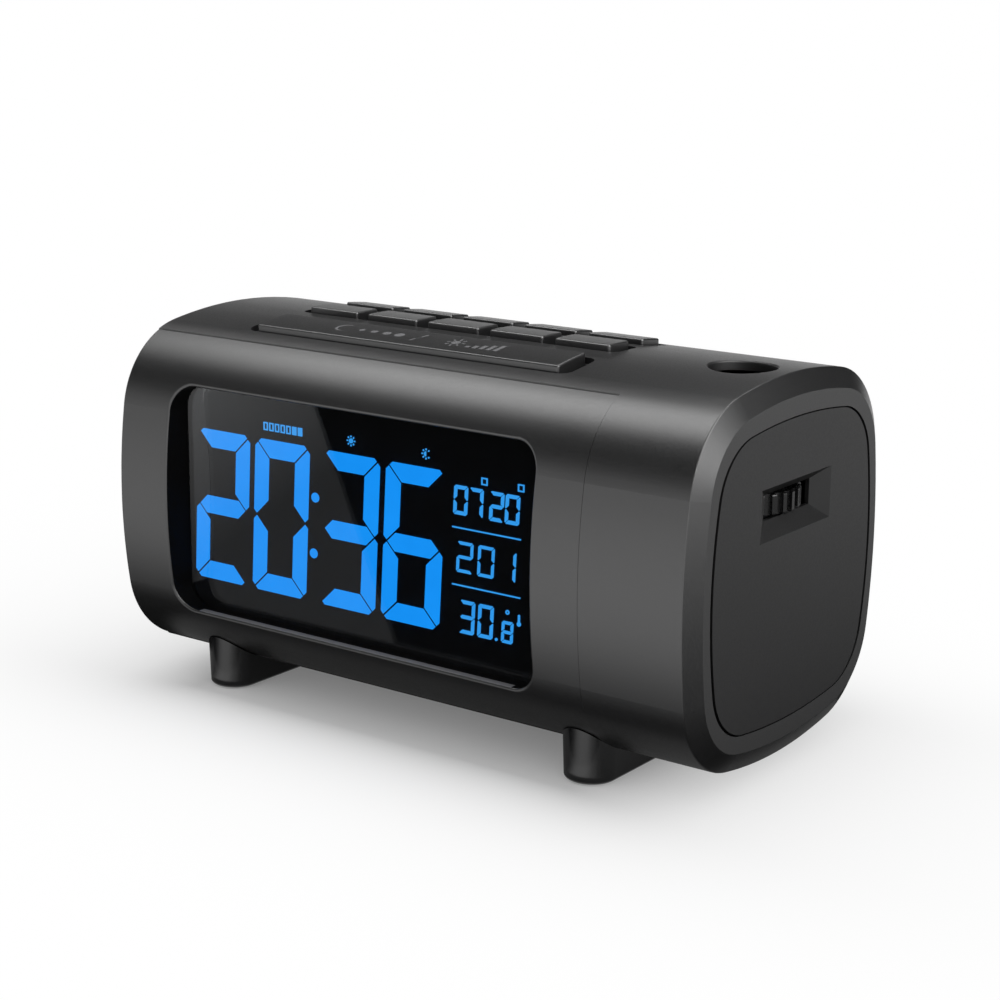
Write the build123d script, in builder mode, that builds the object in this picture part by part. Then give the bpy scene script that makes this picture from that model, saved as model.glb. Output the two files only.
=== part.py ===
from build123d import *

import os
from math import radians, sqrt, tan

os.makedirs("parts", exist_ok=True)

# Projection alarm clock, in millimetres. X runs along the case with the projector at +X,
# Y runs from the display to the back, Z is up. The origin is on the ground under the centre.

# ---------------------------------------------------------------- sizes
# Case: a cushion-shaped tube with chamfered ends
case_length = 185.4
case_half_depth = 47.7
case_half_height = 48.0
side_arc_radius = 157.0
cap_arc_radius = 142.0
case_corner_radius = 25.0
end_chamfer_length = 2.7
end_chamfer_width = 5.1
edge_round = 0.4
edge_search = 0.01
wall = 2.4
ground_clearance = 4.8

# Side panels, let into both ends
panel_margin_side = 9.2
panel_margin_cap = 10.3
panel_side_radius = 118.0
panel_cap_radius = 174.0
panel_corner_radius = 16.2
panel_groove_side = 1.1
panel_groove_cap = 0.35
panel_lip = 2.0
panel_flange = 1.4

# Front cover, the part of the case in front of the seams
cover_seam_depth = 31.2
projector_section = 31.2
seam_gap = 0.25
cover_step = 0.25
locating_tab_width = 10.0
locating_tab_thickness = 1.2
locating_tab_reach = 2.4

# Display opening and the stack behind it
opening_margin = 19.8
opening_width = 120.1
opening_top_margin = 16.1
opening_bottom_margin = 18.2
opening_corner = 7.0
opening_lip = 0.7
lens_setback = 9.1
collar_wall = 2.4
lens_overlap = 1.6
lens_thickness = 1.6
segment_thickness = 0.2
lcd_overlap = 0.5
lcd_thickness = 2.2
light_guide_thickness = 3.0
tray_floor = 1.5
fit_gap = 0.05
tray_clearance = 0.3

# Screw bosses that hold the display tray to the front cover
display_boss_pitch = 76.0
display_boss_radius = 2.6
ear_radius = 2.7
small_screw_radius = 0.95
small_pilot_radius = 1.0
small_head_radius = 1.9
small_head_height = 1.2
small_screw_length = 4.0
cross_margin = 0.7
cross_width = 0.55
cross_depth = 0.7

# Main board behind the display
main_board_width = 104.0
main_board_height = 58.0
board_thickness = 1.6
board_standoff = 4.0
standoff_radius = 2.5
standoff_inset = 4.0
board_corner = 1.0
component_pitch = 10.0
chip_side = 10.0
chip_height = 1.4
crystal_length = 7.0
crystal_width = 2.8
crystal_height = 2.8
capacitor_radius = 2.5
capacitor_height = 7.0
plug_length = 10.0
plug_width = 5.0
plug_height = 2.5

# Case screws: posts on the cover meet tubes on the main shell
post_end_margin = 12.5
post_seam_margin = 8.5
post_rise = 25.0
post_radius = 3.0
post_joint_depth = 12.0
tube_radius = 4.0
tube_bore = 2.9
tube_web = 2.4
case_screw_radius = 1.4
case_pilot_radius = 1.5
case_head_radius = 2.6
case_head_height = 1.8
case_screw_length = 12.0

# Keypad on top: a long snooze bar and two rows of buttons
keypad_shift = 3.1
bar_length = 98.5
bar_depth = 12.2
bar_y = -19.1
bar_pocket_end = 3.4
button_columns = 5
button_pitch = 20.6
button_length = 16.8
front_button_depth = 9.3
rear_button_depth = 8.5
front_row_y = 1.35
rear_row_y = 16.25
row_pocket_end = 2.6
pocket_gap = 0.9
pocket_depth = 1.6
pocket_floor = 1.6
key_rise = 1.5
key_corner = 0.8
key_top_round = 0.5
key_clearance = 0.3
key_skirt = 0.8
key_skirt_gap = 0.15
key_bottom_depth = 7.2
key_travel = 0.8

# Key board and its switches
key_board_length = 122.0
key_board_tray_gap = 2.95
key_board_back = 24.0
switch_size = 6.0
switch_height = 4.7
switch_body_height = 3.4
switch_plunger_radius = 1.75
bar_switch_pitch = 50.0
key_post_pitch_x = 117.0
key_post_pitch_y = 32.0
key_post_radius = 2.3

# Projector, a column on one vertical axis behind the right side panel
projector_inset = 16.0
projector_y = -0.5
aperture_radius = 8.5
aperture_flare = 0.5
barrel_radius = 8.6
barrel_wall = 1.3
barrel_length = 42.0
barrel_top_depth = 4.8
barrel_lip = 0.7
barrel_lip_height = 1.0
barrel_travel = 2.0
running_clearance = 0.05
wheel_radius = 15.2
wheel_height = 5.2
wheel_drop = 28.6
wheel_ridges = 28
wheel_ridge_width = 1.2
wheel_ridge_depth = 1.0
wheel_gap = 0.3
front_lens_thickness = 4.0
rear_lens_thickness = 3.6
rear_lens_round = 2.1
rear_lens_height = 2.0
housing_radius = 11.2
housing_bore = 8.0
housing_flange_length = 22.0
housing_flange_depth = 32.0
housing_flange = 2.0
projector_base_height = 19.6
projector_boss_pitch = 26.4
projector_boss_radius = 2.6
condenser_height = 6.0
condenser_thickness = 5.0
condenser_round = 3.5
slide_height = 16.0
slide_side = 11.1
slide_thickness = 1.6
led_size = 5.0
led_base = 1.0
led_dome = 1.8
bridge_thickness = 2.0
bridge_radius = 11.5
bridge_width = 16.0
bridge_arm = 2.6
bridge_wheel_gap = 0.8
bridge_foot_height = 10.0
bridge_foot_drop = 7.0

# Thumb window in the right side panel, a funnel with a slot for the wheel in its floor
window_width = 34.7
window_height = 13.1
window_drop = 0.8
window_shift = 0.2
window_floor = 1.1
slot_width = 22.6
slot_height = 6.5

# Feet
foot_width = 13.6
foot_end_margin = 8.9
foot_taper = 2.0
foot_round = 1.0
left_foot_margin = 29.5
right_foot_margin = 36.7
foot_peg_radius = 2.0
foot_peg_pitch = 40.0
foot_peg_height = 9.0
foot_seat_gap = 0.03
pad_inset = 1.6
pad_thickness = 0.8
pad_proud = 0.3

# Speaker on the back
speaker_x = -25.0
speaker_drop = 2.8
speaker_radius = 20.0
speaker_setback = 4.5
speaker_flange = 1.0
speaker_depth = 13.0
magnet_radius = 11.0
magnet_height = 5.0
basket_wall = 0.8
cone_thickness = 0.4
ring_wall = 1.5
ring_seat = 1.8
ring_depth = 3.2
grille_radius = 15.5
grille_pitch = 4.2
grille_slot = 1.8
grille_rows = 3

# Sockets on the back
connector_board_width = 44.0
connector_board_depth = 24.0
connector_board_height = 21.2
connector_board_x = 20.0
connector_face_setback = 4.7
connector_boss_radius = 2.4
jack_x = 32.0
jack_width = 9.0
jack_height = 11.0
jack_length = 12.0
jack_bore = 3.1
jack_bore_depth = 9.5
jack_pin_radius = 1.0
jack_window_radius = 4.6
usb_x = 10.0
usb_width = 13.2
usb_height = 5.8
usb_length = 14.0
usb_wall = 0.4
usb_tongue_width = 11.0
usb_tongue_height = 1.8
usb_window_margin = 0.8

# Coin cell and its door on the back
cell_x = -60.0
cell_rise = 3.0
cell_radius = 10.0
cell_thickness = 3.2
cell_round = 0.6
cell_clearance = 0.3
cell_door_width = 25.6
cell_door_height = 23.6
cell_door_corner = 2.5
cell_door_thickness = 1.9
cell_door_gap = 0.3
cell_pad_margin = 2.0
cell_cup_wall = 1.5
cell_cup_floor = 1.2
cell_setback = 3.3
contact_thickness = 0.4
contact_width = 6.0
notch_width = 8.0
notch_depth = 0.8

# Temperature sensor behind a row of vents
sensor_x = -66.0
sensor_drop = 27.0
sensor_radius = 1.6
sensor_length = 6.0
sensor_rib = 1.0
sensor_rib_reach = 5.0
vent_count = 5
vent_pitch = 3.6
vent_length = 9.0
vent_width = 1.6

# Ribbon cable between the boards
ribbon_width = 16.0
ribbon_thickness = 0.3
ribbon_x = -40.0
ribbon_drop = 12.0
ribbon_reach = 9.0
ribbon_bend = 1.4

# Display digits: the large time, and a column of small ones
digit_width = 19.0
digit_height = 41.8
digit_stroke = 4.9
digit_cut = 2.0
digit_gap = 0.35
digit_pitch = 21.0
digit_pair_pitch = 44.6
digit_lean = 2.9
bar_tip_share = 0.2
time_shift = -15.75
time_rise = -2.25
colon_radius = 1.3
colon_rise = 7.6
small_gap = 0.12
small_cut = 0.45
column_shift = 40.15
column_width = 21.0
rule_height = 0.35
rule_rise = 7.4
date_rise = 11.95
date_width = 4.3
date_height = 7.5
date_stroke = 0.95
date_pitch = 4.75
date_pair_pitch = 11.05
date_mark_rise = 5.8
date_mark_size = 1.9
date_mark_shift = 4.9
day_rise = -2.55
day_width = 5.0
day_height = 8.0
day_stroke = 0.8
day_pitch = 6.55
temperature_rise = -17.95
temperature_width = 4.7
temperature_height = 8.7
temperature_pitch = 5.75
tenths_width = 3.5
tenths_height = 5.7
tenths_shift = 6.7
thermometer_shift = 10.2
thermometer_rise = 2.5
thermometer_height = 2.4
thermometer_width = 0.6
degree_radius = 0.6
sign_rise = 22.15
sign_height = 2.2
week_sign_shift = -10.6
week_days = 7
week_pitch = 2.0
week_mark_width = 1.5
sun_sign_shift = 12.7
dim_sign_shift = 37.1
sun_radius = 0.65
ray_inner = 0.95
ray_outer = 1.4
sun_rays = 8

# ---------------------------------------------------------------- places worked out from them
centre_z = ground_clearance + case_half_height
case_top = centre_z + case_half_height
half_length = case_length / 2
straight_half = half_length - end_chamfer_length
cavity_half = half_length - wall
cover_right = half_length - projector_section
opening_x = -half_length + opening_margin + opening_width / 2
opening_z = centre_z + (opening_bottom_margin - opening_top_margin) / 2
opening_height = 2 * case_half_height - opening_top_margin - opening_bottom_margin
lens_front = -case_half_depth + lens_setback
lens_back = lens_front + lens_thickness
segment_front = lens_back + fit_gap
lcd_front = segment_front + segment_thickness
lcd_back = lcd_front + lcd_thickness
guide_back = lcd_back + fit_gap + light_guide_thickness
tray_inside = guide_back + fit_gap
tray_back = tray_inside + tray_floor
board_front = tray_back + board_standoff
display_boss_offset = collar_wall + tray_clearance + display_boss_radius
board_back = board_front + board_thickness
key_board_front = tray_back + key_board_tray_gap
key_board_middle = (key_board_front + key_board_back) / 2
keypad_x = opening_x + keypad_shift
key_bottom = case_top - key_bottom_depth
switch_top = key_bottom - key_travel - fit_gap
key_board_top = switch_top - switch_height
projector_x = half_length - projector_inset
projector_base = ground_clearance + projector_base_height
housing_bottom = projector_base + board_thickness
wheel_top = case_top - wheel_drop
wheel_bottom = wheel_top - wheel_height
barrel_top = case_top - barrel_top_depth
barrel_bottom = barrel_top - barrel_length
guide_bore = barrel_radius + running_clearance
wheel_middle = (wheel_top + wheel_bottom) / 2
window_z = wheel_middle - window_drop
window_depth = wall + panel_flange - window_floor
speaker_z = centre_z - speaker_drop
speaker_face = case_half_depth - speaker_setback
connector_board_z = ground_clearance + connector_board_height
connector_floor = connector_board_z + board_thickness
connector_face = case_half_depth - connector_face_setback
cell_z = centre_z + cell_rise
cell_back = case_half_depth - cell_setback
cell_front = cell_back - cell_thickness
cell_cup_bottom = cell_front - contact_thickness - fit_gap
sensor_z = centre_z - sensor_drop
time_x = opening_x + time_shift
time_z = opening_z + time_rise
column_x = opening_x + column_shift
date_z = opening_z + date_rise
date_mark_z = date_z + date_mark_rise
day_z = opening_z + day_rise
temperature_z = opening_z + temperature_rise
thermometer_x = column_x + thermometer_shift
thermometer_z = temperature_z + thermometer_rise
sign_z = opening_z + sign_rise
week_sign_x = time_x + week_sign_shift
sun_sign_x = time_x + sun_sign_shift
dim_sign_x = time_x + dim_sign_shift

case_post_places = [
    (x, centre_z + rise)
    for x in (-half_length + post_end_margin, cover_right - post_seam_margin)
    for rise in (-post_rise, post_rise)
]
display_boss_places = [
    (opening_x + side * display_boss_pitch / 2, opening_z + up * (opening_height / 2 + display_boss_offset))
    for side in (-1, 1)
    for up in (-1, 1)
]
main_board_places = [
    (opening_x + side * (main_board_width / 2 - standoff_inset),
     opening_z + up * (main_board_height / 2 - standoff_inset))
    for side in (-1, 1)
    for up in (-1, 1)
]
key_post_places = [
    (keypad_x + side * key_post_pitch_x / 2, key_board_middle + back * key_post_pitch_y / 2)
    for side in (-1, 1)
    for back in (-1, 1)
]
projector_boss_places = [
    (projector_x, projector_y - projector_boss_pitch / 2),
    (projector_x, projector_y + projector_boss_pitch / 2),
]
connector_board_y = connector_face - connector_board_depth / 2 - 2 * wall
connector_boss_places = [
    (connector_board_x - connector_board_width / 2 + standoff_inset, connector_board_y),
    (connector_board_x + connector_board_width / 2 - standoff_inset, connector_board_y),
]
foot_length = 2 * case_half_depth - 2 * foot_end_margin
foot_places = {
    "left_foot": -half_length + left_foot_margin,
    "right_foot": half_length - right_foot_margin,
}
rows = {
    "front": (front_row_y, front_button_depth),
    "rear": (rear_row_y, rear_button_depth),
}
button_columns_x = [
    keypad_x + (column - (button_columns - 1) / 2) * button_pitch for column in range(button_columns)
]


# ---------------------------------------------------------------- planes, outlines and blocks
def section_plane(x):
    """Plane across the case at x: its own x axis runs to the back and its y axis up."""
    return Plane(origin=(x, 0, centre_z), x_dir=(0, 1, 0), z_dir=(1, 0, 0))


def front_plane(y):
    """Plane parallel to the display at y: x runs right, y up, and extrusions go to the front."""
    return Plane(origin=(0, y, 0), x_dir=(1, 0, 0), z_dir=(0, -1, 0))


def cushion(half_width, half_height, side_radius, cap_radius, corner_radius):
    """Closed outline of four large arcs, joined by small tangent corner arcs."""
    with BuildSketch(mode=Mode.PRIVATE) as outline:
        with Locations((side_radius - half_width, 0)):
            Circle(side_radius)
        with Locations((half_width - side_radius, 0)):
            Circle(side_radius, mode=Mode.INTERSECT)
        with Locations((0, cap_radius - half_height)):
            Circle(cap_radius, mode=Mode.INTERSECT)
        with Locations((0, half_height - cap_radius)):
            Circle(cap_radius, mode=Mode.INTERSECT)
        fillet(outline.vertices(), corner_radius)
    return outline.sketch


def case_outline(inset=0.0):
    """The case's section, moved inwards by inset."""
    return cushion(
        case_half_depth - inset,
        case_half_height - inset,
        side_arc_radius - inset,
        cap_arc_radius - inset,
        case_corner_radius - inset,
    )


def panel_outline(grow_side=0.0, grow_cap=0.0):
    """The side panel's outline, moved outwards at its front and back, and at its top and bottom."""
    return cushion(
        case_half_depth - panel_margin_side + grow_side,
        case_half_height - panel_margin_cap + grow_cap,
        panel_side_radius + grow_side,
        panel_cap_radius + grow_cap,
        panel_corner_radius + grow_cap,
    )


def window_outline(grow=0.0):
    """The display opening's outline, moved outwards by grow."""
    with BuildSketch(mode=Mode.PRIVATE) as outline:
        with Locations((opening_x, opening_z)):
            RectangleRounded(opening_width + 2 * grow, opening_height + 2 * grow, opening_corner + grow)
    return outline.sketch


def case_block(inset, half_span=half_length):
    """A plain length of the case's section, used to trim other shapes to its curve."""
    with BuildPart(mode=Mode.PRIVATE) as block:
        with BuildSketch(section_plane(-half_span)):
            add(case_outline(inset))
        extrude(amount=2 * half_span)
    return block.part


def case_body(inset=0.0):
    """The case's outer form, with both ends chamfered."""
    with BuildPart(mode=Mode.PRIVATE) as body:
        with BuildSketch(section_plane(-straight_half)):
            add(case_outline(inset))
        extrude(amount=2 * straight_half)
        for side in (-1, 1):
            with BuildSketch(section_plane(side * straight_half)):
                add(case_outline(inset))
            with BuildSketch(section_plane(side * half_length)):
                add(case_outline(inset + end_chamfer_width))
            loft(ruled=True)
        for x in (-half_length, -straight_half, straight_half, half_length):
            fillet(body.edges().filter_by_position(Axis.X, x - edge_search, x + edge_search), edge_round)
    return body.part


def case_shell(inset=0.0):
    """The case's form, hollowed out and open at both ends for the side panels."""
    with BuildPart(mode=Mode.PRIVATE) as shell:
        add(case_body(inset))
        with BuildSketch(section_plane(-cavity_half)):
            add(case_outline(wall))
        extrude(amount=2 * cavity_half, mode=Mode.SUBTRACT)
        with BuildSketch(section_plane(-half_length)):
            add(panel_outline(panel_groove_side, panel_groove_cap))
        extrude(amount=case_length, mode=Mode.SUBTRACT)
    return shell.part


def cover_region(gap=0.0):
    """The box in front of the seams that the front cover is cut from."""
    reach = 2 * case_half_depth
    with BuildPart(mode=Mode.PRIVATE) as region:
        with Locations((cover_right - gap, -cover_seam_depth - gap, centre_z)):
            Box(2 * case_length, reach, 4 * case_half_height, align=(Align.MAX, Align.MAX, Align.CENTER))
    return region.part


def plan_block(x, y, length, depth, corner, bottom, top):
    """An upright block with rounded corners, seen from above, between two heights."""
    with BuildPart(mode=Mode.PRIVATE) as block:
        with BuildSketch(Plane.XY.offset(bottom)):
            with Locations((x, y)):
                RectangleRounded(length, depth, corner)
        extrude(amount=top - bottom)
    return block.part


def upright_post(x, y, radius, bottom, top):
    """A plain vertical cylinder between two heights."""
    with BuildPart(mode=Mode.PRIVATE) as post:
        with BuildSketch(Plane.XY.offset(bottom)):
            with Locations((x, y)):
                Circle(radius)
        extrude(amount=top - bottom)
    return post.part


def level_post(x, z, radius, front, back):
    """A plain cylinder along Y between two depths."""
    with BuildPart(mode=Mode.PRIVATE) as post:
        with BuildSketch(front_plane(back)):
            with Locations((x, z)):
                Circle(radius)
        extrude(amount=back - front)
    return post.part


def inside_case(shape, inset=wall / 2):
    """What is left of a shape inside the case, so that it ends within the wall."""
    with BuildPart(mode=Mode.PRIVATE) as kept:
        add(shape)
        add(case_block(inset, cavity_half), mode=Mode.INTERSECT)
    return kept.part


def screw(plane, head_radius, head_height, shank_radius, length):
    """Cross-head screw: the plane lies under its head and points out of the head."""
    with BuildPart(plane, mode=Mode.PRIVATE) as fastener:
        with BuildSketch(plane):
            Circle(head_radius)
        extrude(amount=head_height)
        with BuildSketch(plane):
            Circle(shank_radius)
        extrude(amount=-length)
        with BuildSketch(plane.offset(head_height)):
            Rectangle(2 * head_radius - 2 * cross_margin, cross_width)
            Rectangle(cross_width, 2 * head_radius - 2 * cross_margin)
        extrude(amount=-cross_depth, mode=Mode.SUBTRACT)
    return fastener.part


def small_screw(plane):
    """The small screw that holds boards, the display tray and the projector."""
    return screw(plane, small_head_radius, small_head_height, small_screw_radius, small_screw_length)


def wall_band(outer, inner, x, length, front, back):
    """Strips that follow the case's curve between two insets, over one stretch of it."""
    with BuildPart(mode=Mode.PRIVATE) as band:
        add(case_block(outer, cavity_half))
        add(case_block(inner), mode=Mode.SUBTRACT)
        with Locations((x, (front + back) / 2, centre_z)):
            Box(length, back - front, 4 * case_half_height, mode=Mode.INTERSECT)
    return band.part


# ---------------------------------------------------------------- front cover
cover_shell = case_shell(cover_step)
cover_box = cover_region(seam_gap)
cover_form = case_body(cover_step)
tab_front = -cover_seam_depth - locating_tab_reach
tab_inset = wall + locating_tab_thickness
with BuildPart() as front_cover:
    add(cover_shell)
    add(cover_box, mode=Mode.INTERSECT)
    # collar around the display opening, trimmed to the cover's own surface
    with BuildSketch(front_plane(lens_front)):
        add(window_outline(collar_wall))
    extrude(amount=case_half_depth)
    add(cover_form, mode=Mode.INTERSECT)
    with BuildSketch(front_plane(lens_front)):
        add(window_outline())
    extrude(amount=case_half_depth, mode=Mode.SUBTRACT)
    opening_edges = front_cover.edges(Select.LAST).filter_by(Axis.Y, reverse=True)
    fillet(opening_edges.filter_by(lambda edge: edge.center().Y < lens_front - opening_lip), opening_lip)
    # tabs that reach under the main shell's edges
    for side in (-1, 0, 1):
        tab_x = opening_x + side * (opening_width / 2 - locating_tab_width)
        add(wall_band(wall / 2, tab_inset, tab_x, locating_tab_width, tab_front,
                      -cover_seam_depth - seam_gap))
        add(wall_band(wall + fit_gap, tab_inset, tab_x, locating_tab_width, tab_front,
                      -cover_seam_depth + locating_tab_reach))
    # bosses for the display tray, posts for the case screws
    for x, z in display_boss_places:
        add(inside_case(level_post(x, z, display_boss_radius, -case_half_depth, tray_inside)))
    for x, z in case_post_places:
        add(inside_case(level_post(x, z, post_radius, -case_half_depth, -post_joint_depth)))
    with BuildSketch(front_plane(-post_joint_depth)):
        with Locations(*case_post_places):
            Circle(case_pilot_radius)
    extrude(amount=case_screw_length, mode=Mode.SUBTRACT)
    with BuildSketch(front_plane(tray_inside)):
        with Locations(*display_boss_places):
            Circle(small_pilot_radius)
    extrude(amount=small_screw_length, mode=Mode.SUBTRACT)
front_cover.part.label = "front_cover"
export_step(front_cover.part, "parts/front_cover.step")

# ---------------------------------------------------------------- main shell
pocket_bottom_block = case_block(pocket_depth)
key_zone_bottom = centre_z + case_half_height / 2
key_zone_top = case_top + case_half_height
bar_pocket = plan_block(
    keypad_x, bar_y, bar_length + 2 * bar_pocket_end, bar_depth + 2 * pocket_gap,
    bar_pocket_end - fit_gap, key_zone_bottom, key_zone_top,
)
row_length = (button_columns - 1) * button_pitch + button_length
row_pockets = [
    plan_block(keypad_x, y, row_length + 2 * row_pocket_end, depth + 2 * pocket_gap,
               row_pocket_end, key_zone_bottom, key_zone_top)
    for y, depth in rows.values()
]
key_zone_length = bar_length + 2 * bar_pocket_end + 2 * wall
key_zone_front = bar_y - bar_depth / 2 - pocket_gap - wall
key_zone_back = rear_row_y + rear_button_depth / 2 + pocket_gap + wall

main_shell_form = case_shell()
cover_cut = cover_region()
with BuildPart() as main_shell:
    add(main_shell_form)
    add(cover_cut, mode=Mode.SUBTRACT)
    # thicker roof under the keypad, then the three pockets and the holes for the keys
    with BuildPart(mode=Mode.PRIVATE) as roof:
        add(wall_band(wall / 2, pocket_depth + pocket_floor, keypad_x, key_zone_length,
                      key_zone_front, key_zone_back))
        split(bisect_by=Plane.XY.offset(centre_z), keep=Keep.TOP)
    add(roof.part)
    for pocket in [bar_pocket, *row_pockets]:
        with BuildPart(mode=Mode.PRIVATE) as cutter:
            add(pocket)
            add(pocket_bottom_block, mode=Mode.SUBTRACT)
            split(bisect_by=Plane.XY.offset(centre_z), keep=Keep.TOP)
        add(cutter.part, mode=Mode.SUBTRACT)
    with BuildSketch(Plane.XY.offset(key_zone_bottom)):
        with Locations((keypad_x, bar_y)):
            RectangleRounded(bar_length + 2 * key_clearance, bar_depth + 2 * key_clearance,
                             key_corner + key_clearance)
        for y, depth in rows.values():
            with Locations(*[(x, y) for x in button_columns_x]):
                RectangleRounded(button_length + 2 * key_clearance, depth + 2 * key_clearance,
                                 key_corner + key_clearance)
    extrude(amount=key_zone_top - key_zone_bottom, mode=Mode.SUBTRACT)
    # posts that carry the key board
    for x, y in key_post_places:
        add(inside_case(upright_post(x, y, key_post_radius, key_board_top, case_top)))
    with BuildSketch(Plane.XY.offset(key_board_top)):
        with Locations(*key_post_places):
            Circle(small_pilot_radius)
    extrude(amount=small_screw_length, mode=Mode.SUBTRACT)
    # projector aperture with a flared mouth
    with BuildSketch(Plane.XY.offset(wheel_top)):
        with Locations((projector_x, projector_y)):
            Circle(aperture_radius)
    extrude(amount=case_half_height, mode=Mode.SUBTRACT)
    fillet(main_shell.edges(Select.LAST).group_by(Axis.Z)[-1], aperture_flare)
    # bosses for the projector, and the socket board
    for x, y in projector_boss_places:
        add(inside_case(upright_post(x, y, projector_boss_radius, ground_clearance, projector_base)))
    for x, y in connector_boss_places:
        add(inside_case(upright_post(x, y, connector_boss_radius, ground_clearance, connector_board_z)))
    with BuildSketch(Plane.XY.offset(projector_base)):
        with Locations(*projector_boss_places):
            Circle(small_pilot_radius)
    extrude(amount=-small_screw_length, mode=Mode.SUBTRACT)
    with BuildSketch(Plane.XY.offset(connector_board_z)):
        with Locations(*connector_boss_places):
            Circle(small_pilot_radius)
    extrude(amount=-small_screw_length, mode=Mode.SUBTRACT)
    # tubes for the case screws, open at the back
    for x, z in case_post_places:
        add(inside_case(level_post(x, z, tube_radius, -post_joint_depth + fit_gap, case_half_depth)))
    with BuildSketch(front_plane(case_half_depth)):
        with Locations(*case_post_places):
            Circle(tube_bore)
    extrude(amount=case_half_depth + post_joint_depth - fit_gap - tube_web, mode=Mode.SUBTRACT)
    with BuildSketch(front_plane(0)):
        with Locations(*case_post_places):
            Circle(case_screw_radius + running_clearance)
    extrude(amount=post_joint_depth, mode=Mode.SUBTRACT)
    # speaker ring and grille
    ring_outer = speaker_radius + cell_clearance + ring_wall
    with BuildPart(mode=Mode.PRIVATE) as ring:
        add(level_post(speaker_x, speaker_z, ring_outer, speaker_face - ring_depth, case_half_depth))
        add(level_post(speaker_x, speaker_z, speaker_radius + cell_clearance,
                       speaker_face - ring_depth, speaker_face), mode=Mode.SUBTRACT)
        add(level_post(speaker_x, speaker_z, speaker_radius - ring_seat,
                       speaker_face - ring_depth, case_half_depth), mode=Mode.SUBTRACT)
    add(inside_case(ring.part))
    with BuildSketch(front_plane(case_half_depth)):
        for row in range(-grille_rows, grille_rows + 1):
            with Locations((speaker_x, speaker_z + row * grille_pitch)):
                SlotOverall(2 * sqrt(grille_radius**2 - (row * grille_pitch) ** 2), grille_slot)
    extrude(amount=2 * speaker_setback, mode=Mode.SUBTRACT)
    # windows for the two sockets
    with BuildSketch(front_plane(case_half_depth)):
        with Locations((jack_x, connector_floor + jack_height / 2)):
            Circle(jack_window_radius)
        with Locations((usb_x, connector_floor + usb_height / 2)):
            RectangleRounded(usb_width + usb_window_margin, usb_height + usb_window_margin, usb_window_margin)
    extrude(amount=2 * connector_face_setback, mode=Mode.SUBTRACT)
    # coin cell: a thicker pad round the door, a cup behind it
    with BuildPart(mode=Mode.PRIVATE) as cell_housing:
        with BuildSketch(front_plane(case_half_depth)):
            with Locations((cell_x, cell_z)):
                RectangleRounded(
                    cell_door_width + 2 * cell_pad_margin, cell_door_height + 2 * cell_pad_margin,
                    cell_door_corner + cell_pad_margin,
                )
        extrude(amount=case_half_depth - cell_back)
        add(level_post(cell_x, cell_z, cell_radius + cell_clearance + cell_cup_wall,
                       cell_cup_bottom - cell_cup_floor, cell_back))
    add(inside_case(cell_housing.part))
    add(level_post(cell_x, cell_z, cell_radius + cell_clearance, cell_cup_bottom, case_half_depth),
        mode=Mode.SUBTRACT)
    with BuildPart(mode=Mode.PRIVATE) as door_pocket:
        with BuildSketch(front_plane(case_half_depth + wall)):
            with Locations((cell_x, cell_z)):
                RectangleRounded(
                    cell_door_width + 2 * cell_door_gap, cell_door_height + 2 * cell_door_gap,
                    cell_door_corner + cell_door_gap,
                )
        extrude(amount=case_half_depth)
        add(case_block(cell_door_thickness + fit_gap), mode=Mode.SUBTRACT)
    add(door_pocket.part, mode=Mode.SUBTRACT)
    # ribs that hold the temperature sensor, and its vents
    for side in (-1, 1):
        with BuildPart(mode=Mode.PRIVATE) as rib:
            with BuildSketch(front_plane(case_half_depth)):
                with Locations((sensor_x, sensor_z + side * (sensor_radius + sensor_rib / 2 + fit_gap))):
                    Rectangle(sensor_length, sensor_rib)
            extrude(amount=sensor_rib_reach + 2 * wall)
        add(inside_case(rib.part))
    vent_places = [(sensor_x + (k - (vent_count - 1) / 2) * vent_pitch, sensor_z) for k in range(vent_count)]
    with BuildSketch(front_plane(case_half_depth)):
        with Locations(*vent_places):
            SlotOverall(vent_length, vent_width, rotation=90)
    extrude(amount=sensor_rib_reach + 2 * wall, mode=Mode.SUBTRACT)
    # holes for the feet's pegs
    with BuildSketch(Plane.XY.offset(0)):
        for x in foot_places.values():
            with Locations((x, -foot_peg_pitch / 2), (x, foot_peg_pitch / 2)):
                Circle(foot_peg_radius + running_clearance)
    extrude(amount=ground_clearance + 3 * wall, mode=Mode.SUBTRACT)
main_shell.part.label = "main_shell"
export_step(main_shell.part, "parts/main_shell.step")

# ---------------------------------------------------------------- side panels
def side_panel(end):
    """Flush plate let into the case's end, with a flange behind the case's rim."""
    with BuildPart(mode=Mode.PRIVATE) as panel:
        with BuildSketch(section_plane(end * cavity_half)):
            add(panel_outline())
        extrude(amount=end * wall)
        with BuildSketch(section_plane(end * cavity_half)):
            add(panel_outline(panel_lip, panel_lip))
        extrude(amount=-end * panel_flange)
    return panel.part


left_form = side_panel(-1)
with BuildPart() as left_side_panel:
    add(left_form)
left_side_panel.part.label = "left_side_panel"
export_step(left_side_panel.part, "parts/left_side_panel.step")

right_form = side_panel(1)
with BuildPart() as right_side_panel:
    add(right_form)
    # funnel round the focus wheel, then the slot that the wheel looks out of
    with BuildSketch(section_plane(half_length)):
        with Locations((projector_y + window_shift, window_z - centre_z)):
            Rectangle(window_width, window_height)
    with BuildSketch(section_plane(half_length - window_depth)):
        with Locations((projector_y, wheel_middle - centre_z)):
            Rectangle(slot_width, slot_height)
    loft(ruled=True, mode=Mode.SUBTRACT)
    with BuildSketch(section_plane(half_length)):
        with Locations((projector_y, wheel_middle - centre_z)):
            Rectangle(slot_width, slot_height)
    extrude(amount=-2 * (wall + panel_flange), mode=Mode.SUBTRACT)
right_side_panel.part.label = "right_side_panel"
export_step(right_side_panel.part, "parts/right_side_panel.step")

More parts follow.
